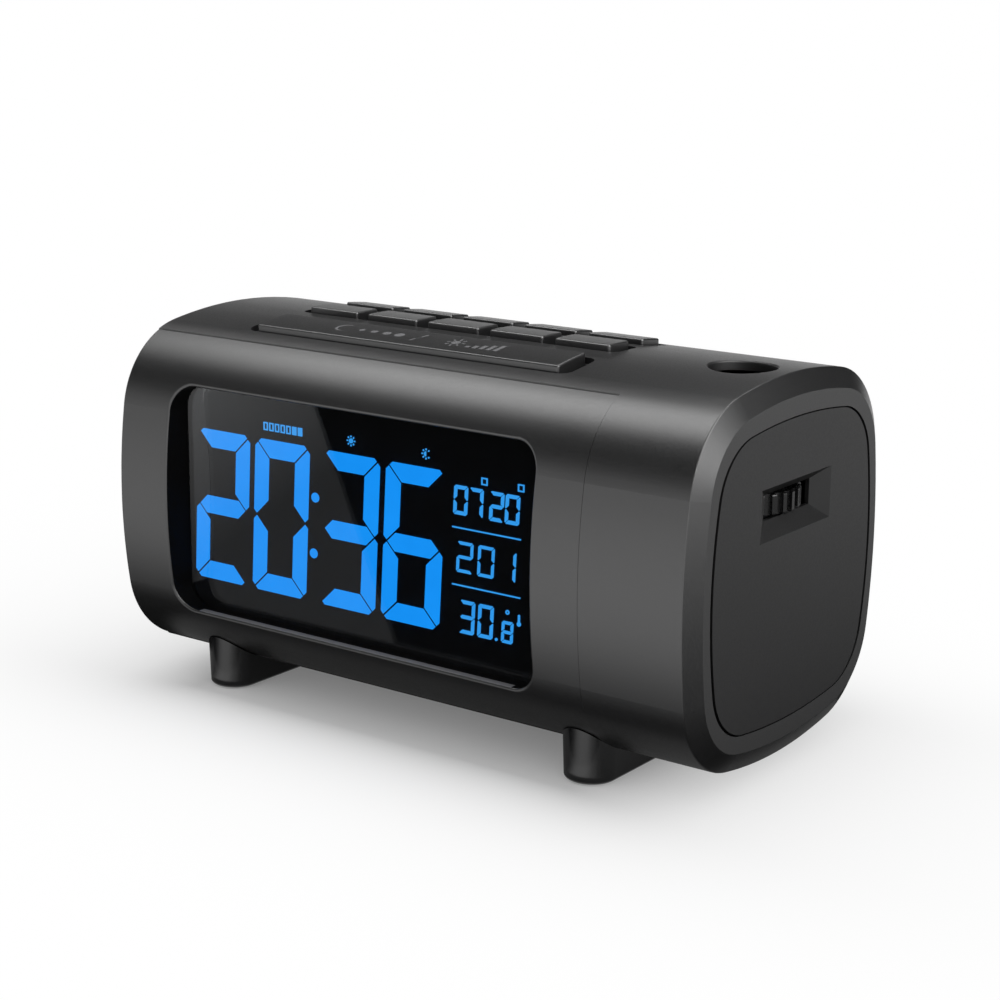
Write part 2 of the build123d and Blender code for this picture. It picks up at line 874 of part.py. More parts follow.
# ---------------------------------------------------------------- display stack
with BuildPart() as display_lens:
    with BuildSketch(front_plane(lens_back)):
        add(window_outline(lens_overlap))
    extrude(amount=lens_thickness)
display_lens.part.label = "display_lens"
export_step(display_lens.part, "parts/display_lens.step")

with BuildPart() as lcd_panel:
    with BuildSketch(front_plane(lcd_back)):
        add(window_outline(lcd_overlap))
    extrude(amount=lcd_thickness)
lcd_panel.part.label = "lcd_panel"
export_step(lcd_panel.part, "parts/lcd_panel.step")

with BuildPart() as light_guide:
    with BuildSketch(front_plane(guide_back)):
        add(window_outline(lcd_overlap))
    extrude(amount=light_guide_thickness)
light_guide.part.label = "light_guide"
export_step(light_guide.part, "parts/light_guide.step")

with BuildPart() as display_tray:
    with BuildSketch(front_plane(tray_back)):
        add(window_outline(collar_wall))
    extrude(amount=tray_back - lens_back)
    with BuildSketch(front_plane(tray_inside)):
        add(window_outline(lcd_overlap + tray_clearance))
    extrude(amount=tray_inside - lens_back, mode=Mode.SUBTRACT)
    # ears for the screws into the front cover
    with BuildSketch(front_plane(tray_back)):
        for x, z in display_boss_places:
            with Locations((x, z)):
                Circle(ear_radius)
            with Locations((x, (z + opening_z) / 2)):
                Rectangle(2 * ear_radius, abs(z - opening_z))
    extrude(amount=tray_floor)
    # standoffs for the main board
    with BuildSketch(front_plane(board_front)):
        with Locations(*main_board_places):
            Circle(standoff_radius)
    extrude(amount=board_standoff)
    with BuildSketch(front_plane(board_front)):
        with Locations(*main_board_places):
            Circle(small_pilot_radius)
    extrude(amount=small_screw_length, mode=Mode.SUBTRACT)
    with BuildSketch(front_plane(tray_back)):
        with Locations(*display_boss_places):
            Circle(small_screw_radius + running_clearance)
    extrude(amount=tray_floor, mode=Mode.SUBTRACT)
display_tray.part.label = "display_tray"
export_step(display_tray.part, "parts/display_tray.step")

with BuildPart() as display_screws:
    for x, z in display_boss_places:
        add(small_screw(Plane(origin=(x, tray_back, z), x_dir=(1, 0, 0), z_dir=(0, 1, 0))))
display_screws.part.label = "display_screws"
export_step(display_screws.part, "parts/display_screws.step")

# ---------------------------------------------------------------- lit digits and signs
lit_bars = {"0": "abcdef", "1": "bc", "2": "abged", "3": "abgcd", "6": "afgedc", "7": "abc", "8": "abcdefg"}


def bar_shapes(width, height, stroke, cut, gap):
    """Corner points of a digit's seven bars, a to g, round the origin."""
    w, h, half = width / 2, height / 2, stroke / 2
    far, near = (cut + gap) / 2, (cut - gap) / 2
    tip = bar_tip_share * stroke
    end = w - tip - gap
    top = [(-w + cut, h), (w - cut, h), (w - far, h - near), (w - stroke - gap, h - stroke),
           (-w + stroke + gap, h - stroke), (-w + far, h - near)]
    side = [(w, h - cut), (w - near, h - far), (w - stroke, h - stroke - gap),
            (w - stroke, gap + stroke - tip), (w - tip, gap), (w, gap + tip)]
    middle = [(-end, 0), (-end + half, half), (end - half, half),
              (end, 0), (end - half, -half), (-end + half, -half)]
    return {
        "a": top,
        "b": side,
        "c": [(x, -z) for x, z in side],
        "d": [(x, -z) for x, z in top],
        "e": [(-x, -z) for x, z in side],
        "f": [(-x, z) for x, z in side],
        "g": middle,
    }


def draw_reading(digits, places, z, width, height, stroke, cut, gap):
    """Draw a row of digits in the current sketch, leaning to the right."""
    shapes = bar_shapes(width, height, stroke, cut, gap)
    slope = tan(radians(digit_lean))
    for digit, x in zip(digits, places):
        for bar in lit_bars[digit]:
            Polygon(*[(x + across + up * slope, z + up) for across, up in shapes[bar]], align=None)


def draw_sun(x, disc_radius, ray_inner, ray_outer, ray_width, rays):
    """Draw a disc with spokes round it in the current sketch, in the row of signs."""
    with Locations((x, sign_z)):
        Circle(disc_radius)
        with PolarLocations((ray_inner + ray_outer) / 2, rays):
            Rectangle(ray_outer - ray_inner, ray_width)


pair_places = [side * digit_pair_pitch / 2 for side in (-1, 1)]
time_places = [time_x + pair + side * digit_pitch / 2 for pair in pair_places for side in (-1, 1)]
colon_lean = colon_rise * tan(radians(digit_lean))
colon_places = [(time_x + side * colon_lean, time_z + side * colon_rise) for side in (-1, 1)]
with BuildPart() as time_digits:
    with BuildSketch(front_plane(lcd_front)):
        draw_reading("2036", time_places, time_z, digit_width, digit_height,
                     digit_stroke, digit_cut, digit_gap)
        with Locations(*colon_places):
            Circle(colon_radius)
    extrude(amount=segment_thickness)
time_digits.part.label = "time_digits"
export_step(time_digits.part, "parts/time_digits.step")

# Two small pairs, each with a mark at its upper right
pair_centres = [column_x + side * date_pair_pitch / 2 for side in (-1, 1)]
date_places = [centre + side * date_pitch / 2 for centre in pair_centres for side in (-1, 1)]
with BuildPart() as date_digits:
    with BuildSketch(front_plane(lcd_front)):
        draw_reading("0720", date_places, date_z, date_width, date_height, date_stroke, small_cut, small_gap)
        with Locations(*[(centre + date_mark_shift, date_mark_z) for centre in pair_centres]):
            Rectangle(date_mark_size, date_mark_size)
            Rectangle(date_mark_size - 2 * rule_height, date_mark_size - 2 * rule_height, mode=Mode.SUBTRACT)
    extrude(amount=segment_thickness)
date_digits.part.label = "date_digits"
export_step(date_digits.part, "parts/date_digits.step")

# Number of the day in the year, between two rules
day_places = [column_x + k * day_pitch for k in (-1, 0, 1)]
with BuildPart() as day_digits:
    with BuildSketch(front_plane(lcd_front)):
        draw_reading("201", day_places, day_z, day_width, day_height, day_stroke, small_cut, small_gap)
        with Locations((column_x, day_z + rule_rise), (column_x, day_z - rule_rise)):
            Rectangle(column_width, rule_height)
    extrude(amount=segment_thickness)
day_digits.part.label = "day_digits"
export_step(day_digits.part, "parts/day_digits.step")

# Temperature with tenths, a ring for the degree and a small thermometer beside it
temperature_bottom = temperature_z - temperature_height / 2
tenths_x = column_x + tenths_shift
with BuildPart() as temperature_digits:
    with BuildSketch(front_plane(lcd_front)):
        draw_reading("30", [column_x - temperature_pitch, column_x], temperature_z, temperature_width,
                     temperature_height, date_stroke, small_cut, small_gap)
        draw_reading("8", [tenths_x], temperature_bottom + tenths_height / 2, tenths_width, tenths_height,
                     day_stroke, small_cut, small_gap)
        with Locations(((column_x + tenths_x) / 2, temperature_bottom + day_stroke / 2)):
            Circle(day_stroke / 2)
        with Locations((tenths_x, thermometer_z + thermometer_height / 2)):
            Circle(degree_radius)
            Circle(degree_radius - rule_height, mode=Mode.SUBTRACT)
        with Locations((thermometer_x, thermometer_z)):
            SlotOverall(thermometer_height, thermometer_width, rotation=90)
        with Locations((thermometer_x, thermometer_z - thermometer_height / 2)):
            Circle(thermometer_width)
    extrude(amount=segment_thickness)
temperature_digits.part.label = "temperature_digits"
export_step(temperature_digits.part, "parts/temperature_digits.step")

# Signs over the time: a week with its last two days filled, a sun, and half a sun
week_places = [week_sign_x + (k - (week_days - 1) / 2) * week_pitch for k in range(week_days)]
with BuildPart() as display_signs:
    with BuildSketch(front_plane(lcd_front)):
        with Locations(*[(x, sign_z) for x in week_places]):
            Rectangle(week_mark_width, sign_height)
        with Locations(*[(x, sign_z) for x in week_places[:-2]]):
            Rectangle(week_mark_width - 2 * rule_height, sign_height - 2 * rule_height, mode=Mode.SUBTRACT)
        draw_sun(sun_sign_x, sun_radius, ray_inner, ray_outer, rule_height, sun_rays)
        draw_sun(dim_sign_x, sun_radius, ray_inner, ray_outer, rule_height, sun_rays)
        with Locations((dim_sign_x, sign_z)):
            Rectangle(ray_outer, 2 * sun_radius, align=(Align.MIN, Align.CENTER), mode=Mode.SUBTRACT)
    extrude(amount=segment_thickness)
display_signs.part.label = "display_signs"
export_step(display_signs.part, "parts/display_signs.step")

# ---------------------------------------------------------------- boards
with BuildPart() as main_board:
    with BuildSketch(front_plane(board_back)):
        with Locations((opening_x, opening_z)):
            RectangleRounded(main_board_width, main_board_height, board_corner)
        with Locations(*main_board_places):
            Circle(small_screw_radius + running_clearance, mode=Mode.SUBTRACT)
    extrude(amount=board_thickness)
main_board.part.label = "main_board"
export_step(main_board.part, "parts/main_board.step")

with BuildPart() as main_board_screws:
    for x, z in main_board_places:
        add(small_screw(Plane(origin=(x, board_back, z), x_dir=(1, 0, 0), z_dir=(0, 1, 0))))
main_board_screws.part.label = "main_board_screws"
export_step(main_board_screws.part, "parts/main_board_screws.step")

# Controller, its crystal, two capacitors and the plug for the sockets' lead
with BuildPart() as board_components:
    with BuildSketch(front_plane(board_back)):
        with Locations((opening_x, opening_z)):
            Rectangle(chip_side, chip_side)
    extrude(amount=-chip_height)
    with BuildSketch(front_plane(board_back)):
        with Locations((opening_x + component_pitch, opening_z)):
            SlotOverall(crystal_length, crystal_width, rotation=90)
    extrude(amount=-crystal_height)
    with BuildSketch(front_plane(board_back)):
        with Locations(*[(opening_x - k * component_pitch, opening_z) for k in (2, 3)]):
            Circle(capacitor_radius)
    extrude(amount=-capacitor_height)
    with BuildSketch(front_plane(board_back)):
        with Locations((opening_x + 2 * component_pitch, opening_z - component_pitch)):
            Rectangle(plug_length, plug_width)
    extrude(amount=-plug_height)
board_components.part.label = "board_components"
export_step(board_components.part, "parts/board_components.step")

with BuildPart() as key_board:
    with BuildSketch(Plane.XY.offset(key_board_top - board_thickness)):
        with Locations((keypad_x, key_board_middle)):
            RectangleRounded(key_board_length, key_board_back - key_board_front, board_corner)
        with Locations(*key_post_places):
            Circle(small_screw_radius + running_clearance, mode=Mode.SUBTRACT)
    extrude(amount=board_thickness)
key_board.part.label = "key_board"
export_step(key_board.part, "parts/key_board.step")

key_board_bottom = key_board_top - board_thickness
with BuildPart() as key_board_screws:
    for x, y in key_post_places:
        add(small_screw(Plane(origin=(x, y, key_board_bottom), x_dir=(1, 0, 0), z_dir=(0, 0, -1))))
key_board_screws.part.label = "key_board_screws"
export_step(key_board_screws.part, "parts/key_board_screws.step")

switch_places = [(x, y) for y, depth in rows.values() for x in button_columns_x]
switch_places += [(keypad_x + side * bar_switch_pitch / 2, bar_y) for side in (-1, 1)]
with BuildPart() as key_switches:
    with BuildSketch(Plane.XY.offset(key_board_top)):
        with Locations(*switch_places):
            Rectangle(switch_size, switch_size)
    extrude(amount=switch_body_height)
    with BuildSketch(Plane.XY.offset(key_board_top + switch_body_height)):
        with Locations(*switch_places):
            Circle(switch_plunger_radius)
    extrude(amount=switch_height - switch_body_height)
key_switches.part.label = "key_switches"
export_step(key_switches.part, "parts/key_switches.step")

# Flat cable from the main board's back, bent under the key board
ribbon_y = board_back + ribbon_thickness / 2
ribbon_z = key_board_bottom - ribbon_thickness / 2
with BuildPart() as key_ribbon:
    with BuildLine(Plane.YZ.offset(ribbon_x)):
        FilletPolyline(
            (ribbon_y, ribbon_z - ribbon_drop), (ribbon_y, ribbon_z), (ribbon_y + ribbon_reach, ribbon_z),
            radius=ribbon_bend,
        )
    with BuildSketch(Plane.XY.offset(ribbon_z - ribbon_drop)):
        with Locations((ribbon_x, ribbon_y)):
            Rectangle(ribbon_width, ribbon_thickness)
    sweep()
key_ribbon.part.label = "key_ribbon"
export_step(key_ribbon.part, "parts/key_ribbon.step")

# ---------------------------------------------------------------- keys
key_crown_block = case_block(-key_rise)
key_skirt_block = case_block(pocket_depth + pocket_floor + key_skirt_gap)


def key(x, y, length, depth):
    """A cap that follows the case's curve, with a wider skirt that keeps it under the roof."""
    with BuildPart(mode=Mode.PRIVATE) as cap:
        with BuildSketch(Plane.XY.offset(key_bottom)):
            with Locations((x, y)):
                RectangleRounded(length, depth, key_corner)
        extrude(amount=case_half_height)
        add(key_crown_block, mode=Mode.INTERSECT)
        fillet(cap.faces().sort_by(Axis.Z)[-1].edges(), key_top_round)
    with BuildPart(mode=Mode.PRIVATE) as whole:
        with BuildSketch(Plane.XY.offset(key_bottom)):
            with Locations((x, y)):
                RectangleRounded(length + 2 * key_skirt, depth + 2 * key_skirt, key_corner + key_skirt)
        extrude(amount=case_half_height)
        add(key_skirt_block, mode=Mode.INTERSECT)
        add(cap.part)
    return whole.part


bar_form = key(keypad_x, bar_y, bar_length, bar_depth)
with BuildPart() as snooze_bar:
    add(bar_form)
snooze_bar.part.label = "snooze_bar"
export_step(snooze_bar.part, "parts/snooze_bar.step")

for row, (y, depth) in rows.items():
    for number, x in enumerate(button_columns_x, start=1):
        button_form = key(x, y, button_length, depth)
        with BuildPart() as button:
            add(button_form)
        button.part.label = f"{row}_button_{number}"
        export_step(button.part, f"parts/{row}_button_{number}.step")

# ---------------------------------------------------------------- projector
with BuildPart() as projector_board:
    with BuildSketch(Plane.XY.offset(projector_base)):
        with Locations((projector_x, projector_y)):
            Rectangle(housing_flange_length, housing_flange_depth)
        with Locations(*projector_boss_places):
            Circle(small_screw_radius + running_clearance, mode=Mode.SUBTRACT)
    extrude(amount=board_thickness)
projector_board.part.label = "projector_board"
export_step(projector_board.part, "parts/projector_board.step")

with BuildPart() as projector_lamp:
    with BuildSketch(Plane.XY.offset(housing_bottom)):
        with Locations((projector_x, projector_y)):
            Rectangle(led_size, led_size)
    extrude(amount=led_base)
    with Locations((projector_x, projector_y, housing_bottom + led_base)):
        Sphere(led_dome, arc_size1=0)
projector_lamp.part.label = "projector_lamp"
export_step(projector_lamp.part, "parts/projector_lamp.step")

ear_top = wheel_bottom - bridge_foot_drop
arm_inner = projector_x - wheel_radius - bridge_wheel_gap
arm_outer = arm_inner - bridge_arm
bridge_screw_z = ear_top - bridge_foot_height / 2
bridge_screw_plane = Plane(origin=(arm_inner, projector_y, bridge_screw_z), x_dir=(0, 1, 0), z_dir=(1, 0, 0))
with BuildPart() as projector_housing:
    with BuildSketch(Plane.XY.offset(housing_bottom)):
        with Locations((projector_x, projector_y)):
            Rectangle(housing_flange_length, housing_flange_depth)
    extrude(amount=housing_flange)
    with BuildSketch(Plane.XY.offset(housing_bottom)):
        with Locations((projector_x, projector_y)):
            Circle(housing_radius)
    extrude(amount=wheel_bottom - wheel_gap - housing_bottom)
    # foot on the side, where the bridge is screwed on
    with BuildSketch(Plane.XY.offset(ear_top - bridge_foot_height)):
        with Locations((arm_inner, projector_y)):
            Rectangle(projector_x - arm_inner, bridge_width, align=(Align.MIN, Align.CENTER))
    extrude(amount=bridge_foot_height)
    with BuildSketch(Plane.XY.offset(housing_bottom)):
        with Locations((projector_x, projector_y)):
            Circle(housing_bore)
    extrude(amount=case_half_height, mode=Mode.SUBTRACT)
    with BuildSketch(Plane.XY.offset(barrel_bottom - barrel_travel)):
        with Locations((projector_x, projector_y)):
            Circle(guide_bore)
    extrude(amount=case_half_height, mode=Mode.SUBTRACT)
    with BuildSketch(Plane.XY.offset(housing_bottom)):
        with Locations(*projector_boss_places):
            Circle(small_screw_radius + running_clearance)
    extrude(amount=housing_flange, mode=Mode.SUBTRACT)
    with BuildSketch(bridge_screw_plane):
        with Locations((-bridge_width / 4, 0), (bridge_width / 4, 0)):
            Circle(small_pilot_radius)
    extrude(amount=small_screw_length, mode=Mode.SUBTRACT)
projector_housing.part.label = "projector_housing"
export_step(projector_housing.part, "parts/projector_housing.step")

with BuildPart() as projector_bridge:
    with BuildSketch(Plane.XY.offset(wheel_top + wheel_gap)):
        with Locations((projector_x, projector_y)):
            Circle(bridge_radius)
        with Locations((arm_outer, projector_y)):
            Rectangle(projector_x - arm_outer, bridge_width, align=(Align.MIN, Align.CENTER))
    extrude(amount=bridge_thickness)
    with BuildSketch(Plane.XY.offset(ear_top - bridge_foot_height)):
        with Locations((arm_outer, projector_y)):
            Rectangle(bridge_arm, bridge_width, align=(Align.MIN, Align.CENTER))
    extrude(amount=wheel_top + wheel_gap + bridge_thickness - ear_top + bridge_foot_height)
    with BuildSketch(Plane.XY.offset(wheel_top)):
        with Locations((projector_x, projector_y)):
            Circle(guide_bore)
    extrude(amount=2 * bridge_thickness, mode=Mode.SUBTRACT)
    with BuildSketch(bridge_screw_plane):
        with Locations((-bridge_width / 4, 0), (bridge_width / 4, 0)):
            Circle(small_screw_radius + running_clearance)
    extrude(amount=-bridge_arm, mode=Mode.SUBTRACT)
projector_bridge.part.label = "projector_bridge"
export_step(projector_bridge.part, "parts/projector_bridge.step")

flange_top = housing_bottom + housing_flange
with BuildPart() as projector_screws:
    for x, y in projector_boss_places:
        add(small_screw(Plane(origin=(x, y, flange_top), x_dir=(1, 0, 0), z_dir=(0, 0, 1))))
    for side in (-1, 1):
        bridge_screw_place = (arm_outer, projector_y + side * bridge_width / 4, bridge_screw_z)
        add(small_screw(Plane(origin=bridge_screw_place, x_dir=(0, 1, 0), z_dir=(-1, 0, 0))))
projector_screws.part.label = "projector_screws"
export_step(projector_screws.part, "parts/projector_screws.step")

with BuildPart() as condenser_lens:
    with BuildSketch(Plane.XY.offset(housing_bottom + condenser_height)):
        with Locations((projector_x, projector_y)):
            Circle(housing_bore - fit_gap)
    extrude(amount=condenser_thickness)
    fillet(condenser_lens.edges().group_by(Axis.Z)[-1], condenser_round)
condenser_lens.part.label = "condenser_lens"
export_step(condenser_lens.part, "parts/condenser_lens.step")

with BuildPart() as projector_slide:
    with BuildSketch(Plane.XY.offset(housing_bottom + slide_height)):
        with Locations((projector_x, projector_y)):
            Rectangle(slide_side, slide_side)
    extrude(amount=slide_thickness)
projector_slide.part.label = "projector_slide"
export_step(projector_slide.part, "parts/projector_slide.step")

barrel_bore = barrel_radius - barrel_wall
with BuildPart() as lens_barrel:
    with BuildSketch(Plane.XY.offset(barrel_bottom)):
        with Locations((projector_x, projector_y)):
            Circle(barrel_radius)
            Circle(barrel_bore, mode=Mode.SUBTRACT)
    extrude(amount=barrel_length)
    with BuildSketch(Plane.XY.offset(barrel_top - barrel_lip_height)):
        with Locations((projector_x, projector_y)):
            Circle(barrel_bore + barrel_wall / 2)
            Circle(barrel_bore - barrel_lip, mode=Mode.SUBTRACT)
    extrude(amount=barrel_lip_height)
    fillet(lens_barrel.edges().group_by(Axis.Z)[-1].sort_by(SortBy.LENGTH)[-1], barrel_lip_height / 2)
lens_barrel.part.label = "lens_barrel"
export_step(lens_barrel.part, "parts/lens_barrel.step")

# A disc under the barrel's lip, with a domed front that stands up inside it
dome_radius = barrel_bore - barrel_lip - running_clearance
dome_ball_radius = (dome_radius**2 + barrel_lip_height**2) / (2 * barrel_lip_height)
with BuildPart(mode=Mode.PRIVATE) as lens_dome:
    with BuildSketch(Plane.XY.offset(barrel_top - barrel_lip_height - front_lens_thickness / 2)):
        with Locations((projector_x, projector_y)):
            Circle(dome_radius)
    extrude(amount=barrel_lip_height + front_lens_thickness / 2)
    with Locations((projector_x, projector_y, barrel_top - dome_ball_radius)):
        Sphere(dome_ball_radius, mode=Mode.INTERSECT)
with BuildPart() as projector_lens:
    with BuildSketch(Plane.XY.offset(barrel_top - barrel_lip_height)):
        with Locations((projector_x, projector_y)):
            Circle(barrel_bore - running_clearance)
    extrude(amount=-front_lens_thickness)
    add(lens_dome.part)
projector_lens.part.label = "projector_lens"
export_step(projector_lens.part, "parts/projector_lens.step")

with BuildPart() as rear_lens:
    with BuildSketch(Plane.XY.offset(barrel_bottom + rear_lens_height)):
        with Locations((projector_x, projector_y)):
            Circle(barrel_bore - running_clearance)
    extrude(amount=rear_lens_thickness)
    fillet(rear_lens.edges().group_by(Axis.Z)[0], rear_lens_round)
rear_lens.part.label = "rear_lens"
export_step(rear_lens.part, "parts/rear_lens.step")

with BuildPart() as focus_wheel:
    with BuildSketch(Plane.XY.offset(wheel_bottom)):
        with Locations((projector_x, projector_y)):
            Circle(wheel_radius - wheel_ridge_depth)
            with PolarLocations(wheel_radius - wheel_ridge_depth, wheel_ridges):
                Rectangle(2 * wheel_ridge_depth, wheel_ridge_width)
            Circle(guide_bore, mode=Mode.SUBTRACT)
    extrude(amount=wheel_height)
    ridge_ends = focus_wheel.edges().filter_by(
        lambda edge: abs(edge.length - wheel_ridge_width) < edge_search)
    fillet(ridge_ends, wheel_ridge_depth / 2)
focus_wheel.part.label = "focus_wheel"
export_step(focus_wheel.part, "parts/focus_wheel.step")

# ---------------------------------------------------------------- case screws and feet
with BuildPart() as case_screws:
    for x, z in case_post_places:
        add(screw(
            Plane(origin=(x, tube_web - post_joint_depth + fit_gap, z), x_dir=(1, 0, 0), z_dir=(0, 1, 0)),
            case_head_radius, case_head_height, case_screw_radius, case_screw_length,
        ))
case_screws.part.label = "case_screws"
export_step(case_screws.part, "parts/case_screws.step")

case_seat_block = case_block(-foot_seat_gap)
pad_length = foot_length - 2 * pad_inset - 2 * fit_gap
pad_width = foot_width - 2 * pad_inset - 2 * fit_gap
for name, x in foot_places.items():
    with BuildPart() as foot:
        with BuildSketch(Plane.XY.offset(pad_proud)):
            with Locations((x, 0)):
                SlotOverall(foot_length, foot_width, rotation=90)
        extrude(amount=ground_clearance + case_corner_radius, taper=-foot_taper)
        fillet(foot.faces().sort_by(Axis.Z)[0].edges(), foot_round)
        add(case_seat_block, mode=Mode.SUBTRACT)
        foot_solid = foot.solids().sort_by(Axis.Z)[0]
        add(foot_solid, mode=Mode.INTERSECT)
        with BuildSketch(Plane.XY.offset(pad_thickness)):
            with Locations((x, -foot_peg_pitch / 2), (x, foot_peg_pitch / 2)):
                Circle(foot_peg_radius)
        extrude(amount=foot_peg_height - pad_thickness)
        with BuildSketch(Plane.XY):
            with Locations((x, 0)):
                SlotOverall(foot_length - 2 * pad_inset, foot_width - 2 * pad_inset, rotation=90)
        extrude(amount=pad_thickness, mode=Mode.SUBTRACT)
    foot.part.label = name
    export_step(foot.part, f"parts/{name}.step")

    with BuildPart() as foot_pad:
        with BuildSketch(Plane.XY):
            with Locations((x, 0)):
                SlotOverall(pad_length, pad_width, rotation=90)
        extrude(amount=pad_thickness)
    foot_pad.part.label = f"{name}_pad"
    export_step(foot_pad.part, f"parts/{name}_pad.step")

# ---------------------------------------------------------------- speaker
basket_back = speaker_face - speaker_depth
with BuildPart() as speaker_basket:
    with BuildSketch(Plane.XY.offset(speaker_z)):
        with BuildLine():
            Polyline(
                (speaker_x, basket_back),
                (speaker_x + magnet_radius, basket_back),
                (speaker_x + magnet_radius, basket_back + magnet_height),
                (speaker_x + speaker_radius - ring_seat, speaker_face - 2 * speaker_flange),
                (speaker_x + speaker_radius, speaker_face - speaker_flange),
                (speaker_x + speaker_radius, speaker_face),
                (speaker_x + speaker_radius - ring_seat, speaker_face),
                (speaker_x + speaker_radius - ring_seat - basket_wall, speaker_face - 2 * speaker_flange),
                (speaker_x + magnet_radius - basket_wall, basket_back + magnet_height + basket_wall),
                (speaker_x, basket_back + magnet_height + basket_wall),
                (speaker_x, basket_back),
            )
        make_face()
    revolve(axis=Axis((speaker_x, 0, speaker_z), (0, 1, 0)))
speaker_basket.part.label = "speaker_basket"
export_step(speaker_basket.part, "parts/speaker_basket.step")

cone_back = basket_back + magnet_height + basket_wall + fit_gap
cone_front = speaker_face - 2 * speaker_flange
cone_radius = speaker_radius - ring_seat - basket_wall - fit_gap
voice_radius = magnet_radius / 2
with BuildPart() as speaker_cone:
    with BuildSketch(Plane.XY.offset(speaker_z)):
        with BuildLine():
            Polyline(
                (speaker_x, cone_back),
                (speaker_x + voice_radius, cone_back),
                (speaker_x + cone_radius, cone_front),
                (speaker_x + cone_radius, cone_front + cone_thickness),
                (speaker_x + voice_radius, cone_back + 2 * cone_thickness),
                (speaker_x, cone_back + 2 * cone_thickness),
                (speaker_x, cone_back),
            )
        make_face()
    revolve(axis=Axis((speaker_x, 0, speaker_z), (0, 1, 0)))
speaker_cone.part.label = "speaker_cone"
export_step(speaker_cone.part, "parts/speaker_cone.step")

# ---------------------------------------------------------------- sockets on the back
with BuildPart() as connector_board:
    with BuildSketch(Plane.XY.offset(connector_board_z)):
        with Locations((connector_board_x, connector_board_y)):
            Rectangle(connector_board_width, connector_board_depth)
        with Locations(*connector_boss_places):
            Circle(small_screw_radius + running_clearance, mode=Mode.SUBTRACT)
    extrude(amount=board_thickness)
connector_board.part.label = "connector_board"
export_step(connector_board.part, "parts/connector_board.step")

with BuildPart() as connector_board_screws:
    for x, y in connector_boss_places:
        add(small_screw(Plane(origin=(x, y, connector_floor), x_dir=(1, 0, 0), z_dir=(0, 0, 1))))
connector_board_screws.part.label = "connector_board_screws"
export_step(connector_board_screws.part, "parts/connector_board_screws.step")

with BuildPart() as power_jack:
    with BuildSketch(front_plane(connector_face)):
        with Locations((jack_x, connector_floor + jack_height / 2)):
            Rectangle(jack_width, jack_height)
    extrude(amount=jack_length)
    with BuildSketch(front_plane(connector_face)):
        with Locations((jack_x, connector_floor + jack_height / 2)):
            Circle(jack_bore)
            Circle(jack_pin_radius, mode=Mode.SUBTRACT)
    extrude(amount=jack_bore_depth, mode=Mode.SUBTRACT)
power_jack.part.label = "power_jack"
export_step(power_jack.part, "parts/power_jack.step")

with BuildPart() as usb_port:
    with BuildSketch(front_plane(connector_face)):
        with Locations((usb_x, connector_floor + usb_height / 2)):
            RectangleRounded(usb_width, usb_height, usb_wall)
    extrude(amount=usb_length)
    with BuildSketch(front_plane(connector_face)):
        with Locations((usb_x, connector_floor + usb_height / 2)):
            Rectangle(usb_width - 2 * usb_wall, usb_height - 2 * usb_wall)
        with Locations((usb_x, connector_floor + usb_height - usb_wall - usb_tongue_height)):
            Rectangle(usb_tongue_width, usb_tongue_height, mode=Mode.SUBTRACT)
    extrude(amount=usb_length - 2 * usb_wall, mode=Mode.SUBTRACT)
usb_port.part.label = "usb_port"
export_step(usb_port.part, "parts/usb_port.step")

# ---------------------------------------------------------------- coin cell and sensor
with BuildPart() as coin_cell:
    with BuildSketch(front_plane(cell_back - fit_gap)):
        with Locations((cell_x, cell_z)):
            Circle(cell_radius)
    extrude(amount=cell_thickness - fit_gap)
    fillet(coin_cell.edges().group_by(Axis.Y)[-1], cell_round)
coin_cell.part.label = "coin_cell"
export_step(coin_cell.part, "parts/coin_cell.step")

with BuildPart() as cell_contact:
    with BuildSketch(front_plane(cell_front)):
        with Locations((cell_x, cell_z)):
            SlotOverall(2 * cell_radius, contact_width)
            SlotOverall(cell_radius, contact_width / 2, mode=Mode.SUBTRACT)
    extrude(amount=contact_thickness)
cell_contact.part.label = "cell_contact"
export_step(cell_contact.part, "parts/cell_contact.step")

door_inner_block = case_block(cell_door_thickness)
door_outer_block = case_block(0)
with BuildPart() as cell_door:
    with BuildSketch(front_plane(case_half_depth)):
        with Locations((cell_x, cell_z)):
            RectangleRounded(cell_door_width, cell_door_height, cell_door_corner)
    extrude(amount=case_half_depth / 2)
    add(door_outer_block, mode=Mode.INTERSECT)
    add(door_inner_block, mode=Mode.SUBTRACT)
    # finger notch near the top edge
    with BuildSketch(front_plane(case_half_depth + notch_depth)):
        with Locations((cell_x, cell_z + cell_door_height / 2 - notch_depth)):
            SlotOverall(notch_width, 2 * notch_depth)
    extrude(amount=2 * notch_depth, mode=Mode.SUBTRACT)
cell_door.part.label = "cell_door"
export_step(cell_door.part, "parts/cell_door.step")

sensor_y = case_half_depth - sensor_rib_reach - wall
with BuildPart() as temperature_sensor:
    with BuildSketch(Plane.YZ.offset(sensor_x - sensor_length / 2)):
        with Locations((sensor_y, sensor_z)):
            Circle(sensor_radius)
    extrude(amount=sensor_length)
temperature_sensor.part.label = "temperature_sensor"
export_step(temperature_sensor.part, "parts/temperature_sensor.step")
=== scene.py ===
from collections import namedtuple
from math import cos, pi, radians, sin, tau

import bpy
from mathutils import Matrix, Vector


